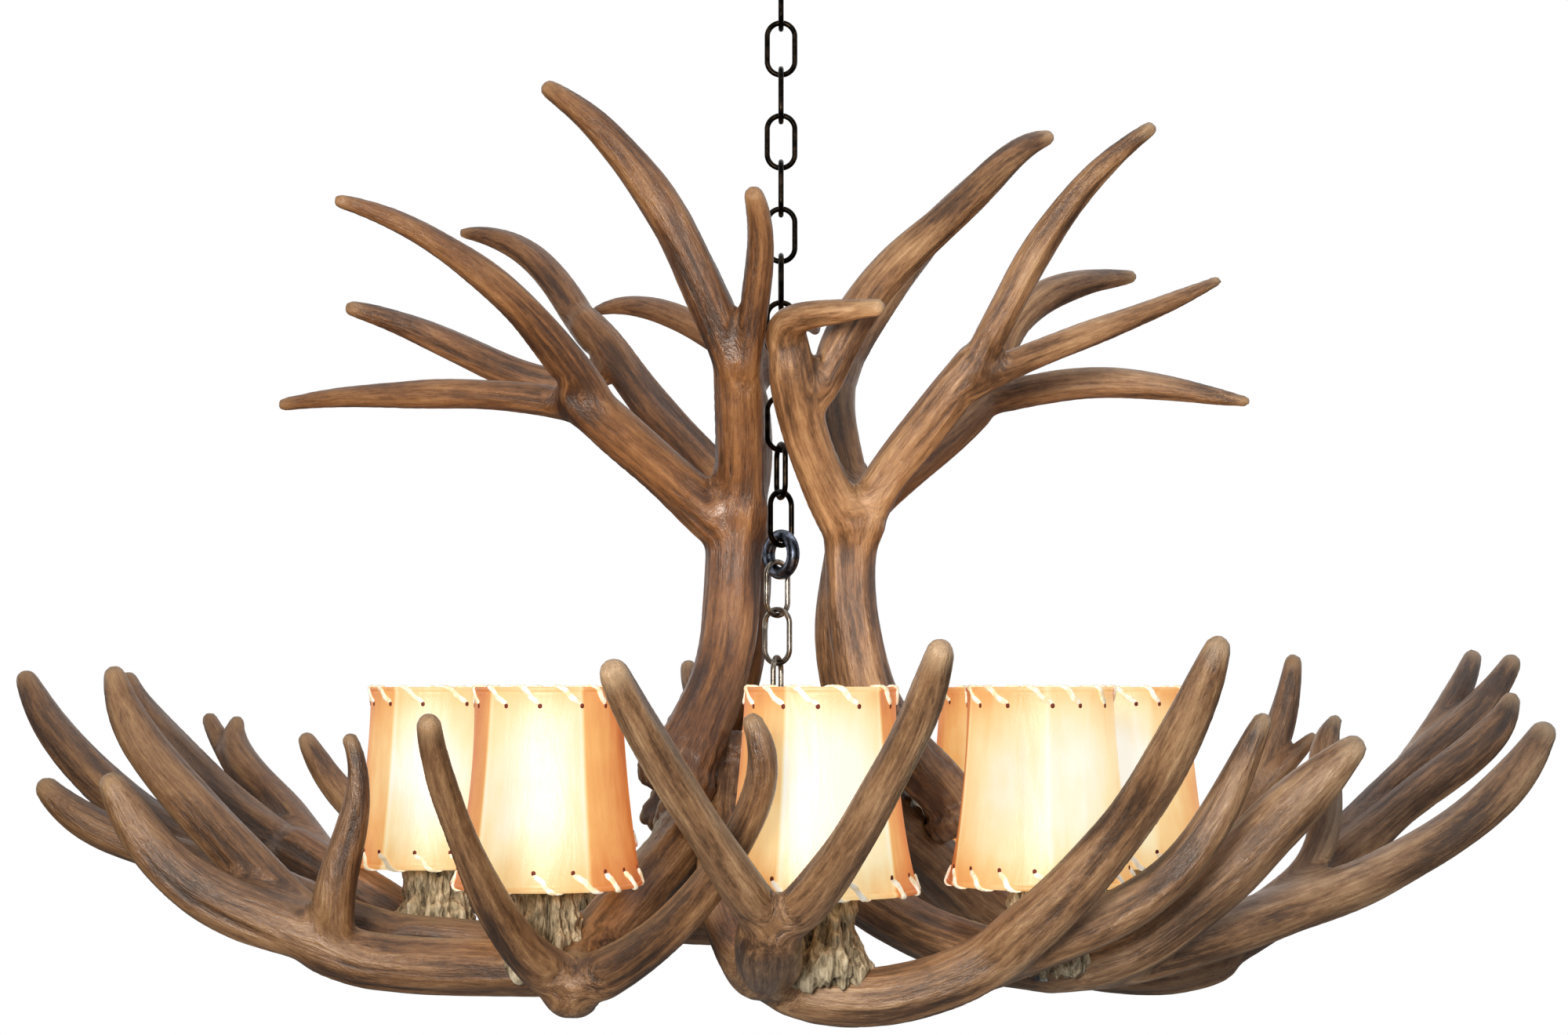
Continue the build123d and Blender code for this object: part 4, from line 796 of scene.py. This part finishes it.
# The white lace is given a painted glow in its own colour, so it reads as lit.
lace_hide, tree, out = new_material("rawhide_lace")
place = put(tree, "ShaderNodeTexCoord").outputs["Object"]
cloud = put(tree, "ShaderNodeTexNoise", {"Vector": place, "Scale": 220.0, "Detail": 4.0}).outputs[0]
tone = put(tree, "ShaderNodeValToRGB", {0: cloud}, stops=((0.35, "#e6d0a4"), (0.6, "#fff7e6"))).outputs[0]
lace = put(tree, "ShaderNodeBsdfPrincipled", {"Base Color": tone, "Roughness": 0.4, "Emission Color": tone,
                                              "Emission Strength": 0.38})
tree.links.new(lace.outputs[0], out.inputs["Surface"])

punched, tree, out = new_material("punched_hole_edge")
burnt = put(tree, "ShaderNodeBsdfPrincipled", {"Base Color": paint("#6e2410"), "Roughness": 0.7})
tree.links.new(burnt.outputs[0], out.inputs["Surface"])

for number, axis in enumerate(lamp_axes, start=1):
    random = np.random.default_rng(40 + number)
    front = radians(SHADE_TURNS[number - 1] - 90)
    middles = front + 2 * pi * np.arange(PANELS) / PANELS
    # Panels facing front or back are painted paler and brighter, those at the sides painted darker amber.
    tones = np.clip((np.abs(np.sin(middles)) - 0.35) / 0.4, 0, 1) * PAINTED_GLOW_PALE_PANELS
    tones = tones + random.uniform(-GLOW_SPREAD, GLOW_SPREAD, PANELS)
    foot = axis - Vector((0, 0, SHADE_HEIGHT / 1000))
    columns = PANELS * PANEL_COLUMNS
    turns = [front + 2 * pi * column / columns for column in range(columns)]
    vertices, faces, glows, skins = [], [], [], []
    for depth in (0.0, HIDE_THICKNESS):
        for row in range(SHADE_ROWS + 1):
            height = SHADE_HEIGHT * row / SHADE_ROWS
            for turn in turns:
                point = shade_point(turn, height, depth, front)
                vertices.append(foot + point / 1000)
                glows.append(light_through(turn, height, front, tones))
                skins += [point.x + 70 * number, point.y, point.z]
    layer = columns * (SHADE_ROWS + 1)
    for row in range(SHADE_ROWS):
        for column in range(columns):
            following = (column + 1) % columns
            a, b = row * columns + column, row * columns + following
            c, d = b + columns, a + columns
            faces.append((a, b, c, d))
            faces.append((layer + d, layer + c, layer + b, layer + a))
    for column in range(columns):
        following = (column + 1) % columns
        top = SHADE_ROWS * columns
        faces.append((following, column, layer + column, layer + following))
        faces.append((top + column, top + following, layer + top + following, layer + top + column))
    for height in (SHADE_HEIGHT - EDGE_INSET, EDGE_INSET):
        rim = [foot + shade_point(turn, height, ROLL_DEPTH, front) / 1000 for turn in turns]
        size = [ROLL_RADIUS / 1000] * columns
        add_tube(vertices, faces, rim, size, size, [(point - foot).normalized() for point in rim], True)
        for turn, point in zip(turns, rim):
            glows += [light_through(turn, height, front, tones)] * TUBE_SIDES
            skins += [*(point - foot) * 1000] * TUBE_SIDES
    hide_mesh = bpy.data.meshes.new(f"shade_{number}_hide")
    hide_mesh.from_pydata(vertices, [], faces)
    hide_mesh.attributes.new("glow", "FLOAT", "POINT").data.foreach_set("value", glows)
    hide_mesh.attributes.new("skin", "FLOAT_VECTOR", "POINT").data.foreach_set("vector", skins)
    hide_mesh.shade_smooth()
    hide_mesh.materials.append(lit_hide)
    hide_skin = bpy.data.objects.new(f"shade_{number}_hide", hide_mesh)
    scene.collection.objects.link(hide_skin)
    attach(hide_skin, f"shade_{number}")
    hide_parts(f"shade_{number}")

    vertices, faces, holes = [], [], []
    for height, inward, stitches in STITCHES:
        edge = height + inward * EDGE_INSET
        rim_radius = TOP_RADIUS if height else BOTTOM_RADIUS
        for stitch in range(stitches):
            turn = 2 * pi * (stitch + random.uniform(-0.16, 0.16)) / stitches
            slant = inward * STITCH_SLANT / rim_radius * random.uniform(0.7, 1.2)
            path, out_ways = [], []
            for share, reach, lift in STITCH_TAIL:
                near = turn + slant * share
                place = shade_point(near, edge + inward * reach * STITCH_REACH, -lift, front)
                path.append(foot + place / 1000)
                out_ways.append(Vector((cos(near), sin(near), 0)))
            for share, lap in STITCH_LAP:
                near = turn + slant * share
                middle = foot + shade_point(near, edge, ROLL_DEPTH, front) / 1000
                away = Vector((cos(near) * cos(radians(lap)), sin(near) * cos(radians(lap)),
                               -inward * sin(radians(lap))))
                path.append(middle + away * (ROLL_RADIUS + 0.5 * LACE_THICK) / 1000)
                out_ways.append(away)
            wide = [LACE_WIDE / 1000 * (0.5 if k == 0 else 1.0) for k in range(len(path))]
            thick = [LACE_THICK / 1000] * len(path)
            add_tube(vertices, faces, path, wide, thick, out_ways, False)
            holes.append((turn, edge + inward * (STITCH_REACH + 1.4)))
    stitched = len(faces)
    for turn, height in holes:
        middle = foot + shade_point(turn, height, -0.1, front) / 1000
        path = [middle + Vector((0, 0, up / 1000)) for up, half in HOLE_STEPS]
        wide = [half / 1000 for up, half in HOLE_STEPS]
        thick = [0.3 * half / 1000 for up, half in HOLE_STEPS]
        add_tube(vertices, faces, path, wide, thick, [Vector((cos(turn), sin(turn), 0))] * 4, False)
    lace_mesh = bpy.data.meshes.new(f"shade_{number}_lacing")
    lace_mesh.from_pydata(vertices, [], faces)
    lace_mesh.shade_smooth()
    lace_mesh.materials.append(lace_hide)
    lace_mesh.materials.append(punched)
    lace_mesh.polygons.foreach_set("material_index", [0] * stitched + [1] * (len(faces) - stitched))
    lacing = bpy.data.objects.new(f"shade_{number}_lacing", lace_mesh)
    scene.collection.objects.link(lacing)
    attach(lacing, f"shade_{number}")

# ---- Metal fittings -------------------------------------------------------------------------
# The chain, canopy and loop are steel with a dark bronze finish, rubbed paler on the edges. The
# spare links kept their bright nickel, and the eye bolt is bluish zinc. Everything in the
# ceiling is plain zinc, but for the green ground screw.
METALS = {                      # in the hollows, on the edges, roughness, metallic, pieces
    "dark_bronze": ("#0c0a08", "#352a20", 0.30, 1.0, ["ceiling_canopy", "canopy_loop", "hub_cover_screws"]
                    + [f"chain_link_{k:02d}" for k in range(1, 14)]),
    "bright_nickel": ("#6f665c", "#d8cdbd", 0.26, 1.0, [f"spare_link_{k}" for k in range(1, 4)]),
    "eye_steel": ("#3b404b", "#9aa2b4", 0.30, 1.0, ["eye_bolt", "eye_bolt_nut"]),
    "zinc_steel": ("#7d7f82", "#b9bcc0", 0.34, 1.0, ["canopy_crossbar", "crossbar_nipple", "nipple_locknut",
                                                     "socket_nipples", "antler_screws"]),
    "frame_wire": ("#5a4a3a", "#a08a6c", 0.4, 1.0, [f"shade_frame_{k}" for k in range(1, 9)]),
    "green_screw": ("#14602c", "#2c8f4c", 0.4, 0.3, ["ground_screw"]),
    "socket_phenolic": ("#120e0c", "#2a221d", 0.35, 0.0, ["lamp_sockets"]),
}
for finish, (low, high, roughness, metallic, fitted) in METALS.items():
    material, tree, out = new_material(finish)
    place = put(tree, "ShaderNodeTexCoord").outputs["Object"]
    wear = put(tree, "ShaderNodeTexNoise", {"Vector": place, "Scale": 130.0, "Detail": 6.0,
                                            "Roughness": 0.7}).outputs[0]
    tone = put(tree, "ShaderNodeValToRGB", {0: wear}, stops=((0.45, low), (0.75, high))).outputs[0]
    dents = put(tree, "ShaderNodeBump", {"Height": wear, "Strength": 0.25, "Distance": 0.0006}).outputs[0]
    metal = put(tree, "ShaderNodeBsdfPrincipled", {"Base Color": tone, "Metallic": metallic,
                                                   "Roughness": roughness, "Normal": dents})
    tree.links.new(metal.outputs[0], out.inputs["Surface"])
    for node in fitted:
        nodes[node].data.materials.clear()
        nodes[node].data.materials.append(material)
